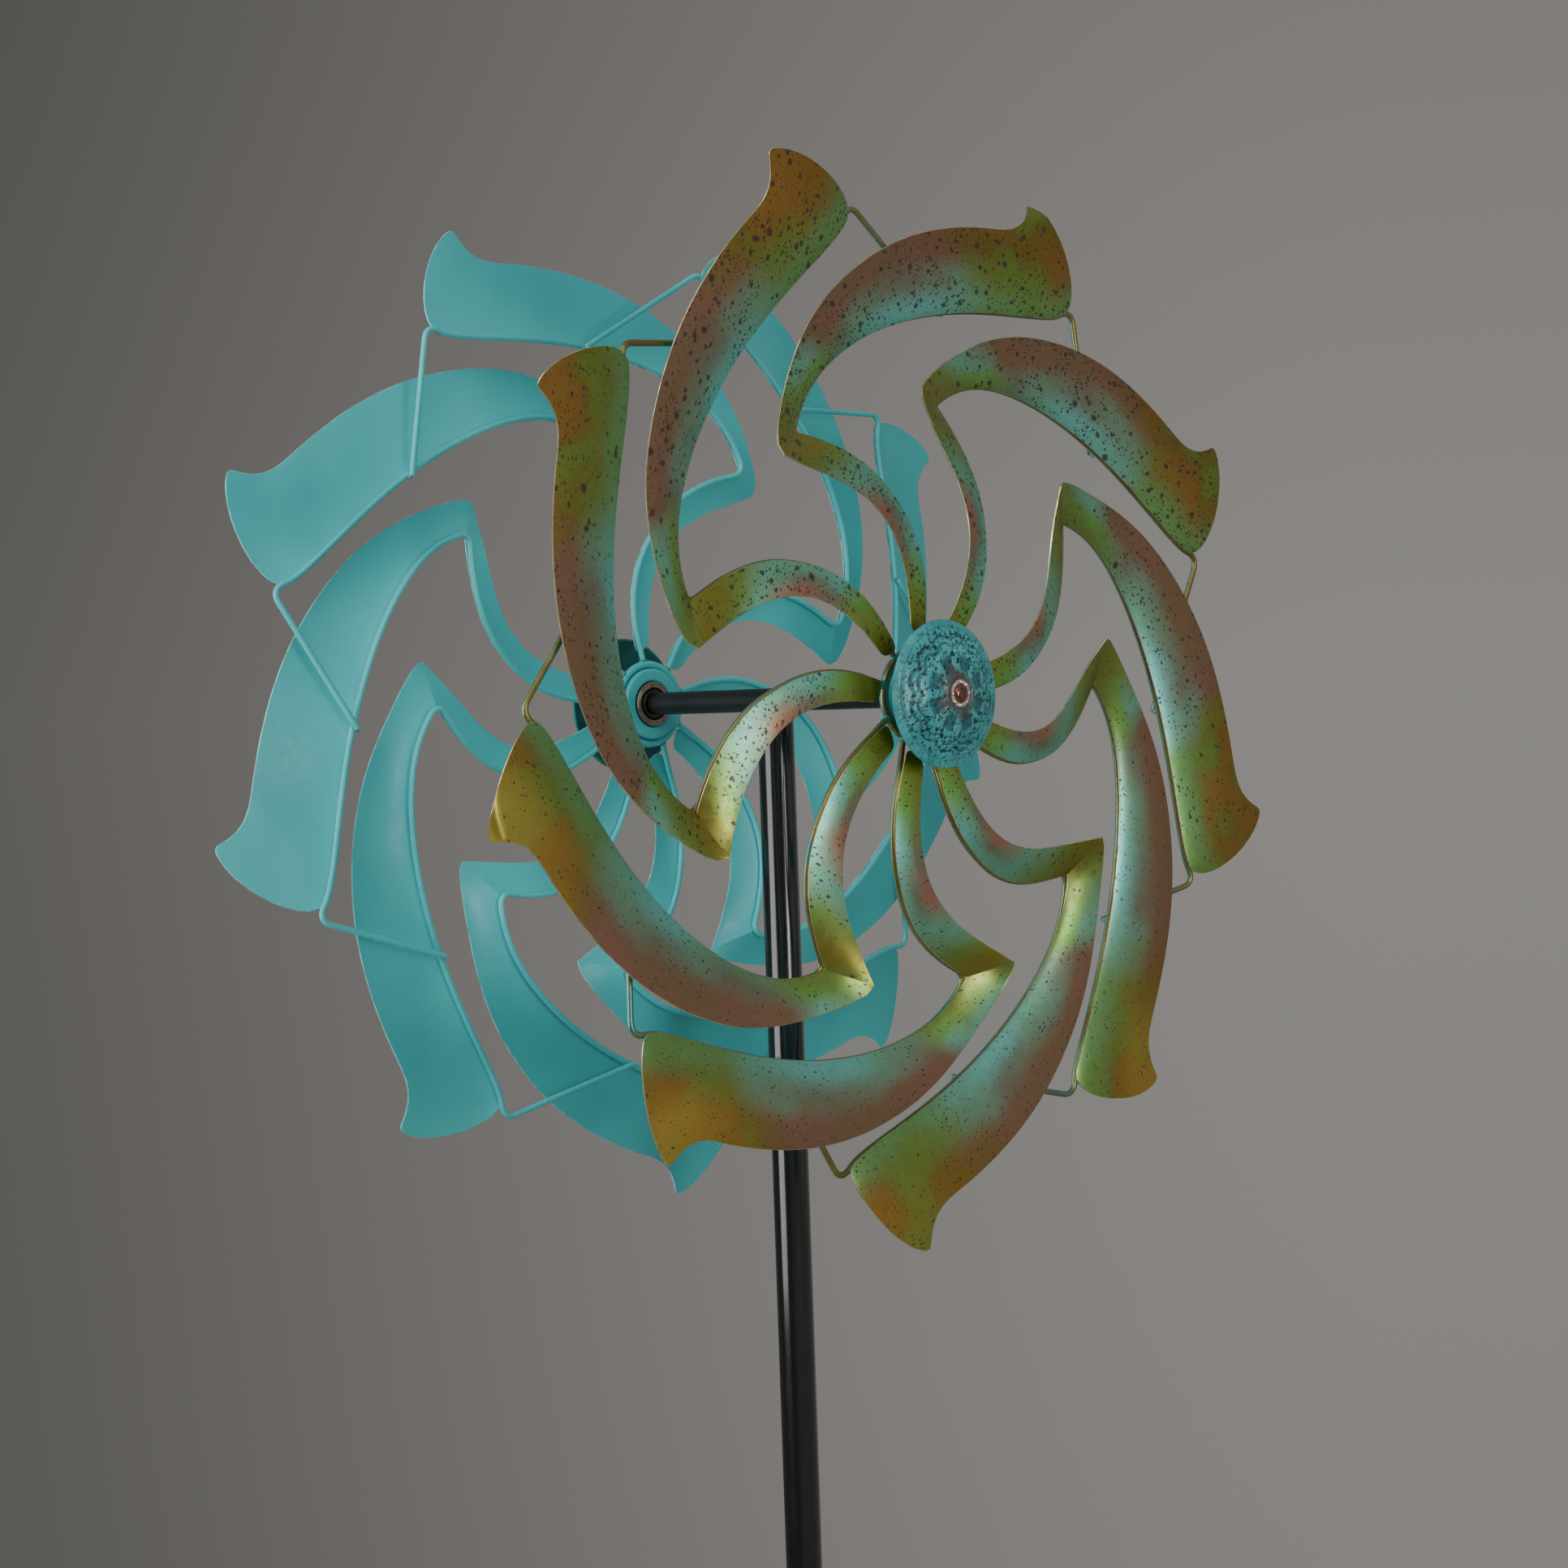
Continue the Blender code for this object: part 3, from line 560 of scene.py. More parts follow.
def turned_piece(name, shape, mat, body, slot, place=None, **options):
    """Closed piece about z, whose material reads each vertex's radius and height."""
    verts, faces = shape
    radius = np.hypot(verts[:, 0], verts[:, 1])
    lay = np.stack((radius, verts[:, 2], 0 * radius), axis=1)
    closed(name, verts, faces, (mat,), body, slot, place, lay=lay, **options)


def tube(path, radius, sides):
    """Round rod along a path, with domed ends. Returns vertices, faces and, for the material, each
    vertex's distance along the path and how far it faces along z."""
    path = np.array(path)
    tangent = unit(np.gradient(path, axis=0))
    length = lengths_along(path)
    domes = [(math.cos(a), 0.5 * radius * math.sin(a)) for a in np.radians((75, 45, 20))]
    stations = [(path[0] - tangent[0] * rise, tangent[0], scale, 0) for scale, rise in domes]
    stations += [(centre, along, 1, distance) for centre, along, distance in zip(path, tangent, length)]
    stations += [(path[-1] + tangent[-1] * rise, tangent[-1], scale, length[-1])
                 for scale, rise in reversed(domes)]
    side = np.cross(tangent[0], (0, 0, 1))
    verts, lay = [], []
    for centre, along, scale, distance in stations:
        side = unit(side - along * (side @ along))
        across = np.cross(along, side)
        for a in circle(sides):
            out = side * math.cos(a) + across * math.sin(a)
            verts.append(centre + out * radius * scale)
            lay.append((distance, out[2], 0))
    return np.array(verts), skin(numbered(len(stations), sides), "capped"), lay


def joined(parts):
    """Several closed shells as one set of vertices and faces."""
    verts, faces, count = [], [], 0
    for part_verts, part_faces in parts:
        verts.append(part_verts)
        faces += [tuple(i + count for i in face) for face in part_faces]
        count += len(part_verts)
    return np.concatenate(verts), faces


def weld_bead(centre, axis, radius, length, seed):
    """Rippled lump, longest along its axis."""
    axis = unit(np.array(axis))
    side = unit(np.cross(axis, (0.3, 0.5, 0.81)))
    other = np.cross(axis, side)
    rings, sides = 10, 14
    verts = []
    for i in range(rings):
        v = math.pi * (i + 0.5) / rings
        for u in circle(sides):
            ripple = 1 + 0.07 * math.sin(3 * u + seed * 1.7 + 2 * v) + 0.05 * math.sin(9 * v + seed)
            r = radius * math.sin(v) * ripple
            verts.append(centre - axis * (math.cos(v) * length / 2) + side * (r * math.cos(u))
                         + other * (r * math.sin(u)))
    return np.array(verts), skin(numbered(rings, sides), "capped")


# -------- blades
def bspline(points, stations):
    """Clamped cubic B-spline over a control polygon, read at fractions of its length."""
    ctrl = np.array(points, dtype=float)
    knots = np.concatenate((np.zeros(3), np.linspace(0, 1, len(ctrl) - 2), np.ones(3)))
    u = np.linspace(0, 1, 1200)
    basis = [((knots[i] <= u) & (u < knots[i + 1])).astype(float) for i in range(len(knots) - 1)]
    basis[len(ctrl) - 1][-1] = 1.0
    for degree in (1, 2, 3):
        for i in range(len(knots) - 1 - degree):
            left, right = knots[i + degree] - knots[i], knots[i + degree + 1] - knots[i + 1]
            rise = (u - knots[i]) / left if left else 0 * u
            fall = (knots[i + degree + 1] - u) / right if right else 0 * u
            basis[i] = rise * basis[i] + fall * basis[i + 1]
    curve = sum(basis[i][:, None] * ctrl[i] for i in range(len(ctrl)))
    length = lengths_along(curve)
    return read_at(stations * length[-1], length, curve)


def patch(inner, outer, start, end, crown):
    """Surface between four edges, bulged forward between its long edges."""
    s = np.linspace(0, 1, len(inner))[:, None, None]
    t = ACROSS[None, :, None]
    along = (1 - t) * inner[:, None] + t * outer[:, None]
    across = (1 - s) * start[None] + s * end[None]
    corners = ((1 - s) * ((1 - t) * inner[0] + t * outer[0])
               + s * ((1 - t) * inner[-1] + t * outer[-1]))
    surface = along + across - corners
    surface[..., 2] += 4 * ACROSS * (1 - ACROSS) * crown[:, None]
    return surface


def blade_surface(elbow_lift, tip_lift, twist):
    """Rows of points from the hub end to the tip, inner edge first, in metres."""
    t = ACROSS[:, None]
    elbow = np.array(ELBOW_INNER) + t * (np.array(ELBOW_OUTER) - ELBOW_INNER)
    root = np.array(ARM_END_INNER) + t * (np.array(ARM_END_OUTER) - ARM_END_INNER)
    arm_crown = ARM_CROWN * np.sin(np.linspace(0, math.pi, len(ARM_STATIONS)))
    arm = patch(bspline(ARM_INNER, ARM_STATIONS), bspline(ARM_OUTER, ARM_STATIONS), root, elbow, arm_crown)
    band_crown = BAND_CROWN * np.sin(np.linspace(0, math.pi / 2, len(BAND_STATIONS))) ** 0.7
    band = patch(bspline(BAND_INNER, BAND_STATIONS), bspline(BAND_OUTER, BAND_STATIONS), elbow,
                 bspline(END_EDGE, ACROSS), band_crown)
    surface = np.concatenate((arm, band[1:]))
    reach = np.clip((np.hypot(surface[..., 0], surface[..., 1]) - LIFT_FROM) / LIFT_RUN, 0, 1)
    sweep = np.clip((np.arctan2(surface[..., 1], surface[..., 0]) + 0.1) / 1.1, 0, 1)
    share = np.clip(ALONG - 1, 0, 1)[:, None]
    surface[..., 2] += (elbow_lift * reach * sweep + tip_lift * share ** 1.5
                        + twist * (2 * ACROSS - 1) * share)
    return surface * MM


def surface_normals(surface):
    normal = unit(np.cross(np.gradient(surface, axis=0), np.gradient(surface, axis=1)))
    return normal * np.sign(normal[..., 2:3])


def rotated(points, degrees):
    turn = math.radians(degrees)
    spin = np.array(((math.cos(turn), math.sin(turn), 0), (-math.sin(turn), math.cos(turn), 0), (0, 0, 1)))
    return points @ spin


def round_corner(surface, row, column, radius):
    """Bends the outline round one corner of the surface instead of letting it meet in a point."""
    corner = surface[row, column].copy()
    edges = []
    for line in (surface[:, column], surface[row, :]):
        ordered = line if np.allclose(line[0], corner) else line[::-1]
        distance = lengths_along(ordered)
        edges.append((ordered, distance, read_at(radius, distance, ordered)))
    (_, _, first), (_, _, second) = edges
    for sign, (ordered, distance, _) in zip((-1, 1), edges):
        for i in np.nonzero(distance < radius)[0]:
            ordered[i] = bend(first, corner, second, 0.5 + 0.5 * sign * distance[i] / radius)


def fold_horn(surface, down_side, down_end, degrees):
    """Folds the horn's tip about the line between two points of the outline."""
    first, second = (read_at(wanted, lengths_along(line), line)
                     for line, wanted in ((surface[::-1, -1], down_side), (surface[-1, ::-1], down_end)))
    normal = surface_normals(surface)[-4, -4]
    beyond = unit(np.cross(unit(second - first), normal))
    beyond *= np.sign((surface[-1, -1] - first) @ beyond)
    past = np.clip((surface - first) @ beyond, 0, None)
    near = np.linalg.norm(surface - surface[-1, -1], axis=2) < 1.6 * max(down_side, down_end)
    angle = math.radians(degrees)
    shift = math.sin(angle) * normal - (1 - math.cos(angle)) * beyond
    surface += np.where(near, past, 0)[..., None] * shift


def shape_outline(surface, fold):
    """Rounds the hub end, the horn and the tip corner, and folds the horn of a bent blade."""
    width = np.linalg.norm(surface[0, -1] - surface[0, 0])
    depth = np.linalg.norm(surface[:, 0] - surface[0, 0], axis=1)
    for i in np.nonzero(depth < HUB_END_ROUND)[0]:
        missing = HUB_END_ROUND - math.sqrt(HUB_END_ROUND ** 2 - (HUB_END_ROUND - depth[i]) ** 2)
        inset = missing / width
        surface[i] = read_at(inset + ACROSS * (1 - 2 * inset), ACROSS, surface[i].copy())
    if fold:
        fold_horn(surface, *fold)
    else:
        round_corner(surface, -1, -1, HORN_ROUND)
    round_corner(surface, -1, 0, TIP_ROUND)
    return surface


def sheet_piece(side, number, surface, turn):
    """A blade's closed sheet with rounded cut edges: patina in front, turquoise behind."""
    rows, columns = surface.shape[:2]
    count = rows * columns
    numbers = np.arange(count).reshape(rows, columns)
    rim = np.concatenate((numbers[:, 0], numbers[-1, 1:], numbers[-2::-1, -1], numbers[0, -2:0:-1]))
    i_rim, j_rim = np.divmod(rim, columns)
    normal = surface_normals(surface)
    edge, edge_normal = surface[i_rim, j_rim], normal[i_rim, j_rim]
    outward = unit(np.cross(np.roll(edge, -1, axis=0) - np.roll(edge, 1, axis=0), edge_normal))
    inner = surface[np.clip(i_rim, 1, rows - 2), np.clip(j_rim, 1, columns - 2)]
    outward *= np.sign(np.sum(outward * (edge - inner)))
    pulled = surface.copy()
    pulled[i_rim, j_rim] -= outward * SHEET_ROUND
    verts = np.concatenate(((pulled + normal * SHEET / 2).reshape(-1, 3),
                            (pulled - normal * SHEET / 2).reshape(-1, 3),
                            edge + edge_normal * SHEET * 0.2, edge - edge_normal * SHEET * 0.2))
    corners = numbers[:-1, :-1].ravel().tolist()
    faces = [(a + columns, a + columns + 1, a + 1, a) for a in corners]
    faces += [(a, a + 1, a + columns + 1, a + columns) for a in (count + corner for corner in corners)]
    front, back = rim.tolist(), (count + rim).tolist()
    high, low = ([2 * count + v for v in ring] for ring in numbered(2, len(rim)))
    faces += skin([back, low, high, front], "open")
    slots = [0] * len(corners) + [1] * len(corners) + [2] * (3 * len(rim))
    grid = np.stack(np.broadcast_arrays(ALONG[:, None], ACROSS, SPECKLE[side][number - 1]), axis=2)
    grid = grid.reshape(-1, 3)
    lay = np.concatenate((grid, grid, grid[front], grid[front]))
    flat = rotated(verts, -turn) * (1, 1, 0) + (1.7 * number, 0.9 * number, 0)
    crease = {start + ELBOW_ROW * columns + j for start in (0, count) for j in range(columns)}
    closed(f"{side}_blade_{number}_sheet", verts, faces, ("patina", "back", EDGE_FINISH[side]),
           f"{side}_rotor", FACE, PLACE[side], f"{side}_blade_{number}", slots=slots, lay=lay, flat=flat,
           sharp=40, crease=crease)


def curved_corner(before, corner, after, radius):
    """Points round a corner of a path, from a radius before it to a radius after it."""
    start, end = (corner + unit(other - corner) * radius for other in (before, after))
    return bend(start, corner, end, np.linspace(0, 1, 9)[:, None])


def edge_rod(surface):
    """Centre line of the rod behind the blade's inner edge, from the hub end to the tip."""
    near_elbow = np.exp(-((np.arange(len(surface)) - ELBOW_ROW) / 1.8) ** 2)
    clear = SHEET / 2 + SEAM + ROD_RADIUS + ELBOW_CLEAR * near_elbow
    return surface[:, 0] - surface_normals(surface)[:, 0] * clear[:, None]


def trimmed(points, corner, radius):
    """Points of a path that lie further than radius from a corner."""
    return points[np.linalg.norm(points - corner, axis=1) > radius]


def rod_path(surface, next_rod):
    """Ring, arm, elbow, band and tip, then straight across to the next blade's rod. Returns the path
    and its two weld points, on that rod and on the hub ring."""
    edge = edge_rod(surface)
    elbow = edge[ELBOW_ROW]
    start = unit(edge[0] * (1, 1, 0)) * (RING_RADIUS + RING_ROD) + (0, 0, RING_PLANE + 0.5 * MM)
    landing = ELBOW_ROW + WELD_AT * (len(BAND_STATIONS) - 1)
    weld = read_at(landing, np.arange(len(next_rod)), next_rod) - (0, 0, 2 * ROD_RADIUS + SEAM)
    turn = edge[-1] + unit(edge[-1] - edge[-4]) * ROD_TIP_BEND
    arm = trimmed(edge[6:ELBOW_ROW], elbow, 1.7 * ROD_CORNER)
    band = trimmed(edge[ELBOW_ROW + 1:], elbow, 1.7 * ROD_CORNER)
    knee = curved_corner(arm[-1], elbow, band[0], 1.6 * ROD_CORNER)
    tip = curved_corner(edge[-1], turn, weld, ROD_TIP_BEND * 0.95)
    reach = weld + unit(weld - turn) * 0.5 * ROD_RADIUS
    lead = start + (edge[6] - start) * np.linspace(0, 1, 6)[:-1, None]
    run = tip[-1] + (reach - tip[-1]) * np.linspace(0.1, 1, 8)[:, None]
    return np.concatenate((lead, arm, knee, band[:-1], tip, run)), weld, start


def wire(side, name, node, path, radius, sides):
    """Bent rod of a rotor: two-tone at the front, turquoise at the rear."""
    verts, faces, lay = tube(path, radius, sides)
    closed(name, verts, faces, (ROD_FINISH[side],), f"{side}_rotor", TURQUOISE, PLACE[side], node, lay=lay,
           sharp=60)


def blades(side):
    """A rotor's nine sheets and nine rods, with the welds at each rod's ends."""
    phase, settings = SETTINGS[side]
    turns = [phase - 360 / BLADE_COUNT * i - turn for i, (turn, *_) in enumerate(settings)]
    surfaces = [rotated(blade_surface(*bends), turn) for turn, (_, *bends) in zip(turns, settings)]
    rods = [edge_rod(surface) for surface in surfaces]
    beads = []
    for i, (surface, turn) in enumerate(zip(surfaces, turns)):
        number = i + 1
        path, weld, start = rod_path(surface, rods[number % BLADE_COUNT])
        wire(side, f"{side}_rod_{number}_wire", f"{side}_rod_{number}", path, ROD_RADIUS, ROD_SIDES)
        sheet_piece(side, number, shape_outline(surface.copy(), FOLDS.get((side, number))), turn)
        landing = weld + (0, 0, ROD_RADIUS + SEAM / 2)
        beads.append(weld_bead(landing, path[-1] - path[-6], 1.5 * MM, 7 * MM, i))
        beads.append(weld_bead(start - unit(start) * 0.4 * MM, (-start[1], start[0], 0), 2.1 * MM, 5.5 * MM,
                               i + 0.5))
    closed(f"{side}_rod_welds", *joined(beads), ("weld",), f"{side}_rotor", TURQUOISE, PLACE[side],
           sharp=70)


# -------- hubs
def hub_ring(side, gap_angle):
    """Rod bent into a ring, with its cut ends butted together."""
    slit = math.radians(2.4)
    angles = math.radians(gap_angle) + slit / 2 + (2 * math.pi - slit) * np.linspace(0, 1, 97)
    path = around_z(angles, RING_RADIUS, RING_PLANE)
    wire(side, f"{side}_hub_ring_rod", f"{side}_hub_ring", path, RING_ROD, 16)


def hub_housing(side):
    """Turned hub: a flange behind the blades, the bearing's pocket and the dome's nose."""
    pocket = BEARING_RADIUS + GAP
    stop = BEARING_BACK + BEARING_WIDTH + GAP
    profile = ((pocket, HOUSING_BACK), (HOUSING_FLANGE, HOUSING_BACK), (HOUSING_FLANGE, 0),
               (HOUSING_NOSE, 0), (HOUSING_NOSE, NOSE_FRONT), (NOSE_BORE, NOSE_FRONT),
               (NOSE_BORE, stop + 2 * MM), (11 * MM, stop + 2 * MM), (11 * MM, stop), (pocket, stop))
    turned_piece(f"{side}_hub_disc", lathe(rounded(profile, 1.6 * MM, 6)), "rod", f"{side}_rotor",
                 TURQUOISE, PLACE[side], node=f"{side}_hub_housing", sharp=50)


def dome_height(radius):
    return DOME_HEIGHT * math.cos(min(radius / DOME_RADIUS, 1) * math.pi / 2) ** 0.8


def dome_relief(r, angle):
    """Pressed pattern: eight petals and two scalloped grooves. Never above the plain cap."""
    mm = r / MM
    petal = max(0.0, math.cos(8 * angle)) ** 0.8
    window = max(0.0, math.sin(math.pi * min(max((mm - 11) / 11.5, 0), 1))) ** 0.7
    rise = 1.1 * petal * window - 1.1 * window
    scallop = abs(math.sin(6 * angle))
    for middle in (25.0, 29.0):
        ring = middle + 3.2 * scallop
        rise -= 0.9 * math.exp(-((mm - ring) / 0.7) ** 2)
        rise -= 0.25 * math.exp(-((mm - ring + 1.6) / 0.6) ** 2)
    rise -= 0.5 * math.exp(-((mm - 36.6) / 0.6) ** 2)
    return rise * MM


def boss_relief(r, angle):
    """Knob, a ring of eight beads and a round step."""
    mm = r / MM
    knob = 1.5 * math.sqrt(max(0.0, 1 - (mm / 4.2) ** 2)) if mm < 4.2 else 0.0
    bead_at = (angle + math.pi / 8) % (math.pi / 4) - math.pi / 8
    away = math.hypot(mm - BEAD_CIRCLE, BEAD_CIRCLE * bead_at)
    bead = 0.95 * math.sqrt(max(0.0, 1 - (away / 1.25) ** 2)) if away < 1.25 else 0.0
    step = 0.55 * math.exp(-((mm - 9.6) / 0.65) ** 2)
    return (knob + bead + step) * MM


def dome_cap(side):
    """Pressed cap: embossed outside, plain inside, with a collar that slides over the hub's nose."""
    inside, outside = HOUSING_NOSE + GAP, HOUSING_NOSE + GAP + DOME_SHEET
    collar_back = DOME_RIM - 8 * MM
    radii = np.concatenate((np.linspace(DOME_RADIUS - 0.4 * MM, 11.0 * MM, 62),
                            np.linspace(BOSS_RADIUS, 0.35 * MM, 40)))
    outer = [(r, DOME_RIM + dome_height(r)) for r in radii] + [(0, DOME_RIM + DOME_HEIGHT + BOSS_HEIGHT)]

    def under(*radii):
        return [(r, DOME_RIM + dome_height(r) - 1.9 * DOME_SHEET) for r in radii]

    inner = [(0, DOME_RIM + DOME_HEIGHT - 2 * DOME_SHEET), *under(5 * MM, 9 * MM, 13 * MM, inside),
             (inside, collar_back), (outside, collar_back), *under(outside),
             *under(*(r * MM for r in (20, 24, 28, 31, 34, 36.5, 38)))]
    rim = [(DOME_RADIUS - across * DOME_SHEET, DOME_RIM - down * DOME_SHEET)
           for across, down in ((1.2, 0.9), (0.7, 1), (0.25, 0.9), (0, 0.5), (0.1, 0))]

    def relief(r, angle):
        return boss_relief(r, angle) if r <= BOSS_RADIUS else dome_relief(r, angle)

    verts, faces = lathe(outer + inner + rim, DOME_ROUND, relief, len(outer) - 1)
    radius = np.hypot(verts[:, 0], verts[:, 1])
    angle = np.arctan2(verts[:, 1], verts[:, 0])
    back = DOME_ROUND * (len(outer) - 1) + 1
    back_end = len(verts) - DOME_ROUND * (len(rim) - 1)
    recess = np.zeros(len(verts))
    recess[:back] = [-dome_relief(r, a) / MM for r, a in zip(radius[:back], angle)]
    lay = np.stack((radius, verts[:, 2], recess), axis=1)
    # The inside faces take the dark turquoise that paints the shade in the hollow.
    slots = [int(back <= min(face) and max(face) < back_end) for face in faces]
    closed(f"{side}_dome_cap_pressed", verts, faces, ("dome", "dome_inside_painted_shade"), f"{side}_rotor", "dome",
           PLACE[side], f"{side}_dome_cap", sharp=50, slots=slots, lay=lay, flat=verts * (1, 1, 0))


def bearing(side):
    """Outer race with a rubber shield in the hub; inner race, washer and nut on the bar."""
    back, front = BEARING_BACK, BEARING_BACK + BEARING_WIDTH
    bore = JOURNAL_RADIUS + GAP
    groove = 9.9 * MM

    def part(name, node, profile, edge, mat, body, slot):
        turned_piece(f"{side}_{name}", lathe(rounded(profile, edge)), mat, body, slot, PLACE[side],
                     node=node and f"{side}_{node}", sharp=50)

    outer = ((groove, back + 0.9 * MM), (groove, back), (BEARING_RADIUS - 1.6 * MM, back),
             (BEARING_RADIUS - 1.35 * MM, back + 0.35 * MM), (BEARING_RADIUS - 1.1 * MM, back),
             (BEARING_RADIUS, back), (BEARING_RADIUS, front), (groove, front))
    part("bearing_race", "bearing_outer", outer, 0.45 * MM, "steel", f"{side}_rotor", "bare_steel")
    shield = ((RACE_SPLIT + 0.2 * MM, back + 1.6 * MM), (groove - SEAM, back + 1.0 * MM),
              (groove - SEAM, front - 1 * MM), (RACE_SPLIT + 0.2 * MM, front - 1 * MM))
    part("bearing_shield", None, shield, 0.3 * MM, "seal", f"{side}_rotor", "dark_steel")
    inner = ((bore, back), (RACE_SPLIT, back), (RACE_SPLIT, front), (bore, front))
    part("bearing_cone", "bearing_inner", inner, 0.5 * MM, "dark_steel", "stand", "dark_steel")
    washer_back = front + GAP
    washer_front = washer_back + 1.5 * MM
    washer_rim = RACE_SPLIT - 0.4 * MM
    washer = ((bore, washer_back), (washer_rim, washer_back), (washer_rim, washer_front),
              (bore, washer_front))
    part("washer_plate", "axle_washer", washer, 0.25 * MM, "zinc", "stand", "bare_steel")
    nut_piece(side, washer_front + GAP, washer_front + 8 * MM, bore)


def nut_piece(side, back, front, bore):
    """Hexagon nut with its corners turned off to a cone at both faces."""
    flats = NUT_RADIUS * math.cos(math.pi / 6)
    hexagon = flats / np.cos(circle(NUT_ROUND) % (math.pi / 3) - math.pi / 6)
    drop = 0.28 * (hexagon - flats) + 0.25 * MM
    face_edge, chamfer = flats * 0.985, bore + 0.5 * MM
    rings = ((bore, back + 0.4 * MM), (chamfer, back), (face_edge, back), (hexagon, back + drop),
             (hexagon, front - drop), (face_edge, front), (chamfer, front), (bore, front - 0.4 * MM))
    turned_piece(f"{side}_hex_nut", ring_stack(rings, NUT_ROUND), "zinc", "stand", "bare_steel",
                 PLACE[side], node=f"{side}_axle_nut", sharp=28)


# -------- stand
def cross_bar():
    """Bar with a soft shoulder, a turned journal and a threaded end at each side."""
    low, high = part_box("cross_bar")
    centre = (low + high) / 2
    end = (high.y - low.y) / 2
    offset = abs(JOINTS["front_rotor_spin"][1])
    shoulder = offset + BEARING_BACK - GAP
    taper_from = shoulder - 2.2 * MM
    thread_from = offset + BEARING_BACK + BEARING_WIDTH + 2.5 * MM
    half = [(BAR_RADIUS, taper_from)]
    half += [(BAR_RADIUS - 1.2 * MM * (1 - math.cos(a)), taper_from + 2.2 * MM * math.sin(a))
             for a in np.radians((25, 50, 70, 90))]
    half += [(JOURNAL_RADIUS, shoulder), (JOURNAL_RADIUS, thread_from)]
    pitch = 1.25 * MM
    z = thread_from
    while z + pitch < end - 0.8 * MM:
        half += [(JOURNAL_RADIUS, z + 0.12 * pitch), (JOURNAL_RADIUS - 0.6 * MM, z + 0.5 * pitch),
                 (JOURNAL_RADIUS, z + 0.88 * pitch)]
        z += pitch
    half += [(JOURNAL_RADIUS, end - 0.8 * MM), (JOURNAL_RADIUS - 0.8 * MM, end), (0, end)]
    body = [(BAR_RADIUS, z) for z in np.linspace(0, shoulder - 6 * MM, 12)]
    profile = [(r, -z) for r, z in reversed(half)] + [(r, -z) for r, z in reversed(body[1:])] + body + half
    place = Matrix.Translation(centre) @ Matrix.Rotation(math.pi / 2, 4, "X")
    turned_piece("cross_bar_rod", lathe(profile), "satin", "stand", "black_satin", place, node="cross_bar",
                 sharp=32)


def pole_section(node, bottom, top):
    """Tube with rounded ends and a swaged neck where the next section plugs on."""
    bore = POLE_RADIUS - POLE_WALL
    neck, neck_top = bore - GAP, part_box(node)[1].z
    profile = [(bore, bottom), (POLE_RADIUS, bottom), (POLE_RADIUS, top - 2.5 * MM),
               (POLE_RADIUS - 0.4 * MM, top - 1.2 * MM), (neck, top), (neck, neck_top),
               (neck - POLE_WALL, neck_top), (neck - POLE_WALL, top - 2 * MM), (bore, top - 4 * MM)]
    turned_piece(f"{node}_tube", lathe(rounded(profile, 0.5 * MM)), "gloss", "stand", "black_gloss",
                 node=node, sharp=40)


def upper_pole():
    """Top section: its end is cut to a saddle that the bar lies in, with a weld round the brim."""
    low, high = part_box("upper_pole")
    bottom, height = low.z, JOINTS["front_rotor_spin"][2]
    bore = POLE_RADIUS - POLE_WALL
    seat = BAR_RADIUS + 0.06 * MM
    segments = 96

    def saddle(r, angles):
        return height - np.sqrt(np.clip(seat ** 2 - (r * np.cos(angles)) ** 2, 0, None))

    def brim(r, down=0.0):
        return r, np.minimum(saddle(r, circle(segments)), high.z) - down

    rings = [(bore, bottom + 0.4 * MM), (bore + 0.4 * MM, bottom), (POLE_RADIUS - 0.5 * MM, bottom),
             (POLE_RADIUS - 0.12 * MM, bottom + 0.15 * MM), (POLE_RADIUS, bottom + 0.6 * MM)]
    rings += [(POLE_RADIUS, bottom + f * (height - 12 * MM - bottom)) for f in np.linspace(0.1, 1, 10)]
    rings += [brim(POLE_RADIUS, 0.2 * MM), brim(POLE_RADIUS - 0.2 * MM), brim(bore + 0.2 * MM),
              brim(bore, 0.2 * MM), (bore, height - 14 * MM)]
    turned_piece("upper_pole_tube", ring_stack(rings, segments), "gloss", "stand", "black_gloss",
                 node="upper_pole", sharp=40)
    angles = circle(120)
    path = around_z(angles, POLE_RADIUS, saddle(POLE_RADIUS, angles))
    for _ in range(6):
        path = (np.roll(path, 1, axis=0) + path * 2 + np.roll(path, -1, axis=0)) / 4
    verts, faces = ring_tube(path, 1.0 * MM, 10)
    closed("saddle_weld", verts, faces, ("black_weld",), "stand", "black_gloss", sharp=70)


def ring_tube(path, radius, sides):
    """Round bead along a closed path, slightly rippled."""
    tangent = unit(np.roll(path, -1, axis=0) - np.roll(path, 1, axis=0))
    outward = path - path.mean(axis=0)
    outward = unit(outward - tangent * np.sum(outward * tangent, axis=1, keepdims=True))
    other = np.cross(tangent, outward)
    verts = []
    for i, point in enumerate(path):
        ripple = radius * (1 + 0.10 * math.sin(i * 1.35) + 0.06 * math.sin(i * 0.31))
        for a in circle(sides):
            verts.append(point + ripple * (outward[i] * math.cos(a) + other[i] * math.sin(a)))
    return np.array(verts), skin(numbered(len(path), sides))


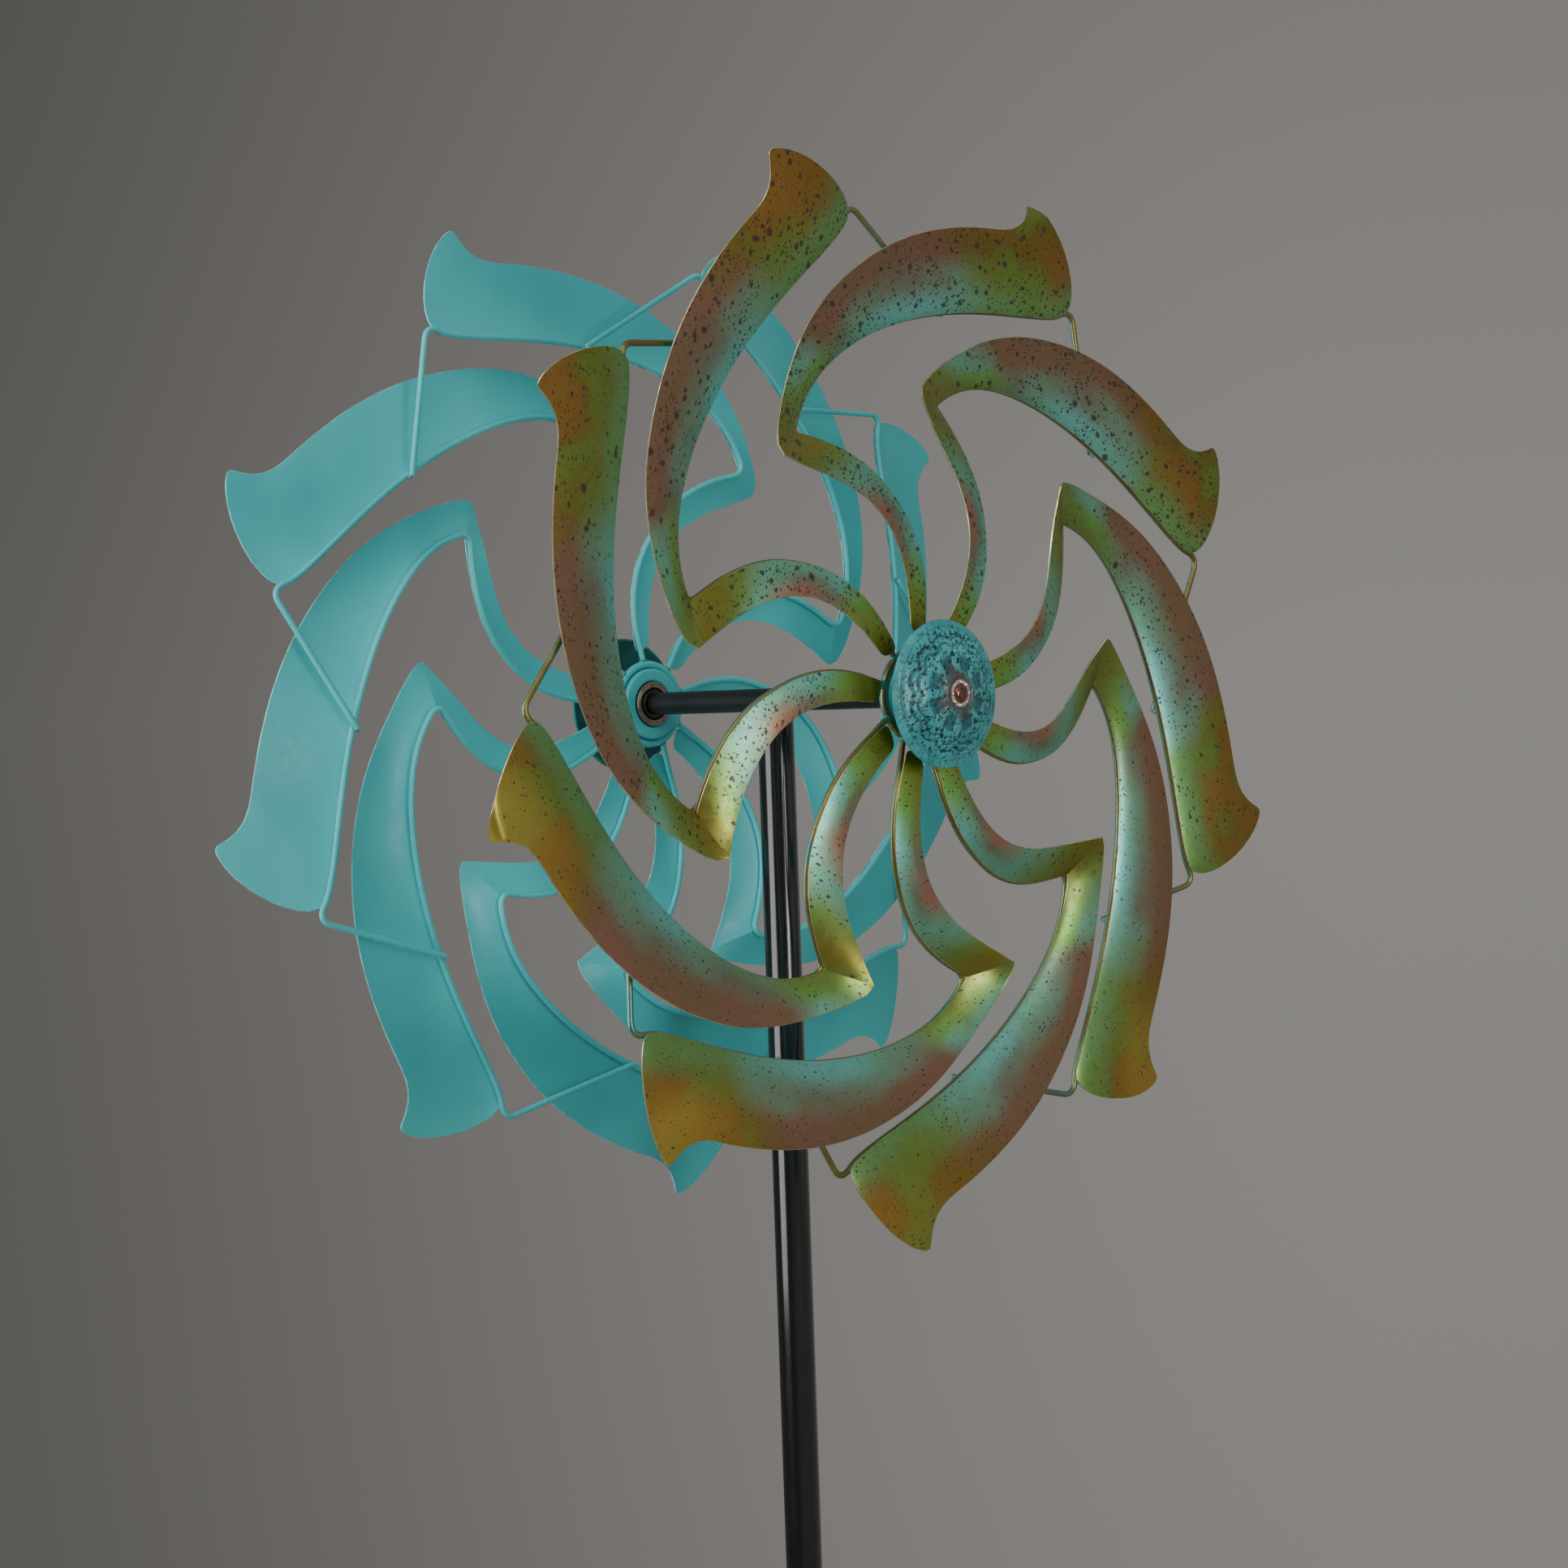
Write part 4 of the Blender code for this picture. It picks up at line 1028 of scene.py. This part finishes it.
def step_plate():
    """Forged cross with rounded arms and edges, welded to the pole's foot."""
    low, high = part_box("step_plate")
    thick = (high.z - low.z) / MM
    arm, half, corner, fillet = high.x, 12 * MM, 7 * MM, 6 * MM
    quarter = []
    for x, y, radius, start, end in ((arm - corner, corner - half, corner, -90, 0),
                                     (arm - corner, half - corner, corner, 0, 90),
                                     (half + fillet, half + fillet, fillet, -90, -180)):
        quarter.append(around_z(np.linspace(math.radians(start), math.radians(end), 7), radius, 0, x, y))
    outline = np.concatenate([rotated(np.concatenate(quarter), 90 * turn) for turn in range(4)])
    inward = unit(np.cross((0, 0, 1), np.roll(outline, -1, axis=0) - np.roll(outline, 1, axis=0)))
    levels = ((1.0, 0.0), (0.3, 0.3), (0.0, 1.0), (0.0, thick - 1.0), (0.3, thick - 0.3), (1.0, thick))
    verts = np.concatenate([outline + inward * inset * MM + (0, 0, low.z + z * MM) for inset, z in levels])
    faces = skin(numbered(len(levels), len(outline)), "capped")
    closed("step_plate_cross", verts, faces, ("gloss",), "stand", "black_gloss", node="step_plate", sharp=40)
    angles = circle(96)
    beads = [ring_tube(around_z(angles, POLE_RADIUS * 1.03, high.z + 0.7 * MM), 1.5 * MM, 10)]
    for number in range(1, 5):
        box_low, box_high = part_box(f"tine_{number}")
        centre = (box_low + box_high) / 2
        radius = (box_high.x - box_low.x) / 2
        rim = around_z(angles, radius * 1.05, box_high.z - 0.6 * MM, centre.x, centre.y)
        beads.append(ring_tube(rim, 1.0 * MM, 8))
    closed("fork_welds", *joined(beads), ("black_weld",), "stand", "black_gloss", sharp=70)


def tines():
    """Round spikes, drawn out to a point."""
    for number in range(1, 5):
        low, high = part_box(f"tine_{number}")
        centre = (low + high) / 2
        radius = (high.x - low.x) / 2
        point = 30 * MM
        profile = [(0, high.z), (radius, high.z)]
        profile += [(radius, z) for z in np.linspace(high.z - 4 * MM, low.z + point, 12)]
        profile += [(radius * math.sqrt(1 - f ** 2.2) if f < 1 else 0, low.z + point * (1 - f))
                    for f in (0.15, 0.3, 0.45, 0.6, 0.75, 0.87, 0.95, 1.0)]
        turned_piece(f"tine_{number}_spike", lathe(profile, 32), "gloss", "stand", "black_gloss",
                     Matrix.Translation((centre.x, centre.y, 0)), node=f"tine_{number}", sharp=50)


for side, gap_angle in (("front", 140), ("rear", -46)):
    blades(side)
    hub_ring(side, gap_angle)
    hub_housing(side)
    dome_cap(side)
    bearing(side)
cross_bar()
upper_pole()
joint_low, joint_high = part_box("middle_pole")[0].z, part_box("upper_pole")[0].z
pole_section("middle_pole", joint_low, joint_high - GAP)
pole_section("lower_pole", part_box("lower_pole")[0].z, joint_low - GAP)
step_plate()
tines()


# -------- camera, light and stage
CAMERA_AT = (-1.1130, -1.1828, 1.370)
CAMERA_AZIMUTH = -43.39
CAMERA_PITCH = -1.73
CAMERA_ROLL = -1.96
CAMERA_LENS = 64.27

camera = bpy.data.objects.new("camera", bpy.data.cameras.new("camera"))
camera.data.lens = CAMERA_LENS
camera.data.sensor_width = 36
camera.data.clip_start, camera.data.clip_end = 0.05, 60
bpy.context.collection.objects.link(camera)
camera.matrix_world = (Matrix.Translation(CAMERA_AT)
                       @ Matrix.Rotation(math.radians(CAMERA_AZIMUTH), 4, "Z")
                       @ Matrix.Rotation(math.radians(90 + CAMERA_PITCH), 4, "X")
                       @ Matrix.Rotation(math.radians(CAMERA_ROLL), 4, "Z"))
bpy.context.scene.camera = camera


def soft_box(name, bearing_angle, distance, height, width, tall, power):
    """Area light that faces the bar. The bearing is in degrees to the camera's left of its own
    place, as seen from the pole."""
    target = Vector((0, 0, JOINTS["front_rotor_spin"][2]))
    away = Vector((CAMERA_AT[0], CAMERA_AT[1], 0)).normalized()
    away.rotate(Matrix.Rotation(math.radians(-bearing_angle), 3, "Z"))
    light = bpy.data.objects.new(name, bpy.data.lights.new(name, "AREA"))
    light.data.shape = "RECTANGLE"
    light.data.size, light.data.size_y = width, tall
    light.data.energy = power
    light.location = away * distance + Vector((0, 0, height))
    light.rotation_mode = "QUATERNION"
    light.rotation_quaternion = (target - light.location).to_track_quat("-Z", "Y")
    bpy.context.collection.objects.link(light)


soft_box("left_box", 60, 1.9, 1.5, 1.3, 1.8, 32)
soft_box("right_box", -38, 1.9, 1.45, 0.5, 1.0, 12)
soft_box("fill_box", -78, 2.2, 1.3, 1.2, 1.2, 0.6)
soft_box("top_box", 20, 2.0, 3.2, 2.0, 2.0, 24)
# Brightness of the surround from straight down (0) to straight up (1).
SKY = ((0.0, 0.16), (0.38, 0.25), (0.50, 0.27), (0.62, 0.21), (0.75, 0.30), (1.0, 0.45))


def studio_floor():
    """Round pale floor that fades into the backdrop."""
    p = Paint("floor_grey", Roughness=0.85)
    place = p.place()
    mottle = p.fade(p.noise(place, 3.0, 3.0), 0.3, 0.7)
    p.set(Base_Color=p.mix(mottle, (0.44, 0.43, 0.41), (0.47, 0.46, 0.44)))
    away = p.node("VectorMath", place, operation="LENGTH").outputs["Value"]
    clear = p.node("BsdfTransparent").outputs[0]
    faded = p.node("MixShader", p.fade(away, 1.6, 2.8), p.shader.outputs[0], clear).outputs[0]
    p.tree.links.new(faded, p.tree.nodes["Material Output"].inputs[0])
    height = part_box("tine_1")[0].z - 0.5 * MM
    verts = [(0, 0, height), *around_z(circle(96), 2.9, height).tolist()]
    faces = [(0, 1 + i, 1 + (i + 1) % 96) for i in range(96)]
    mesh = bpy.data.meshes.new("studio_floor")
    mesh.from_pydata(verts, [], faces)
    mesh.materials.append(p.mat)
    floor = bpy.data.objects.new("studio_floor", mesh)
    bpy.context.collection.objects.link(floor)


def backdrop():
    """Plain grey surround: its grey goes by height, and it darkens towards the camera's left."""
    view_right = Vector((-CAMERA_AT[1], CAMERA_AT[0], 0)).normalized()
    world = bpy.data.worlds.new("studio")
    world.use_nodes = True
    w = Nodes(world.node_tree)
    direction = w.node("TexCoord").outputs["Generated"]
    height = w.node("MapRange", w.parts(direction)[2], -1.0, 1.0).outputs[0]
    grey = w.ramp(height, *((place, (level, level * 0.955, level * 0.90)) for place, level in SKY))
    sideways = w.node("VectorMath", direction, tuple(view_right), operation="DOT_PRODUCT").outputs["Value"]
    background = w.tree.nodes["Background"].inputs
    w.put(grey, background["Color"])
    w.put(w.fade(sideways, -0.42, 0.22, 0.35, 1.0), background["Strength"])
    bpy.context.scene.world = world


studio_floor()
backdrop()
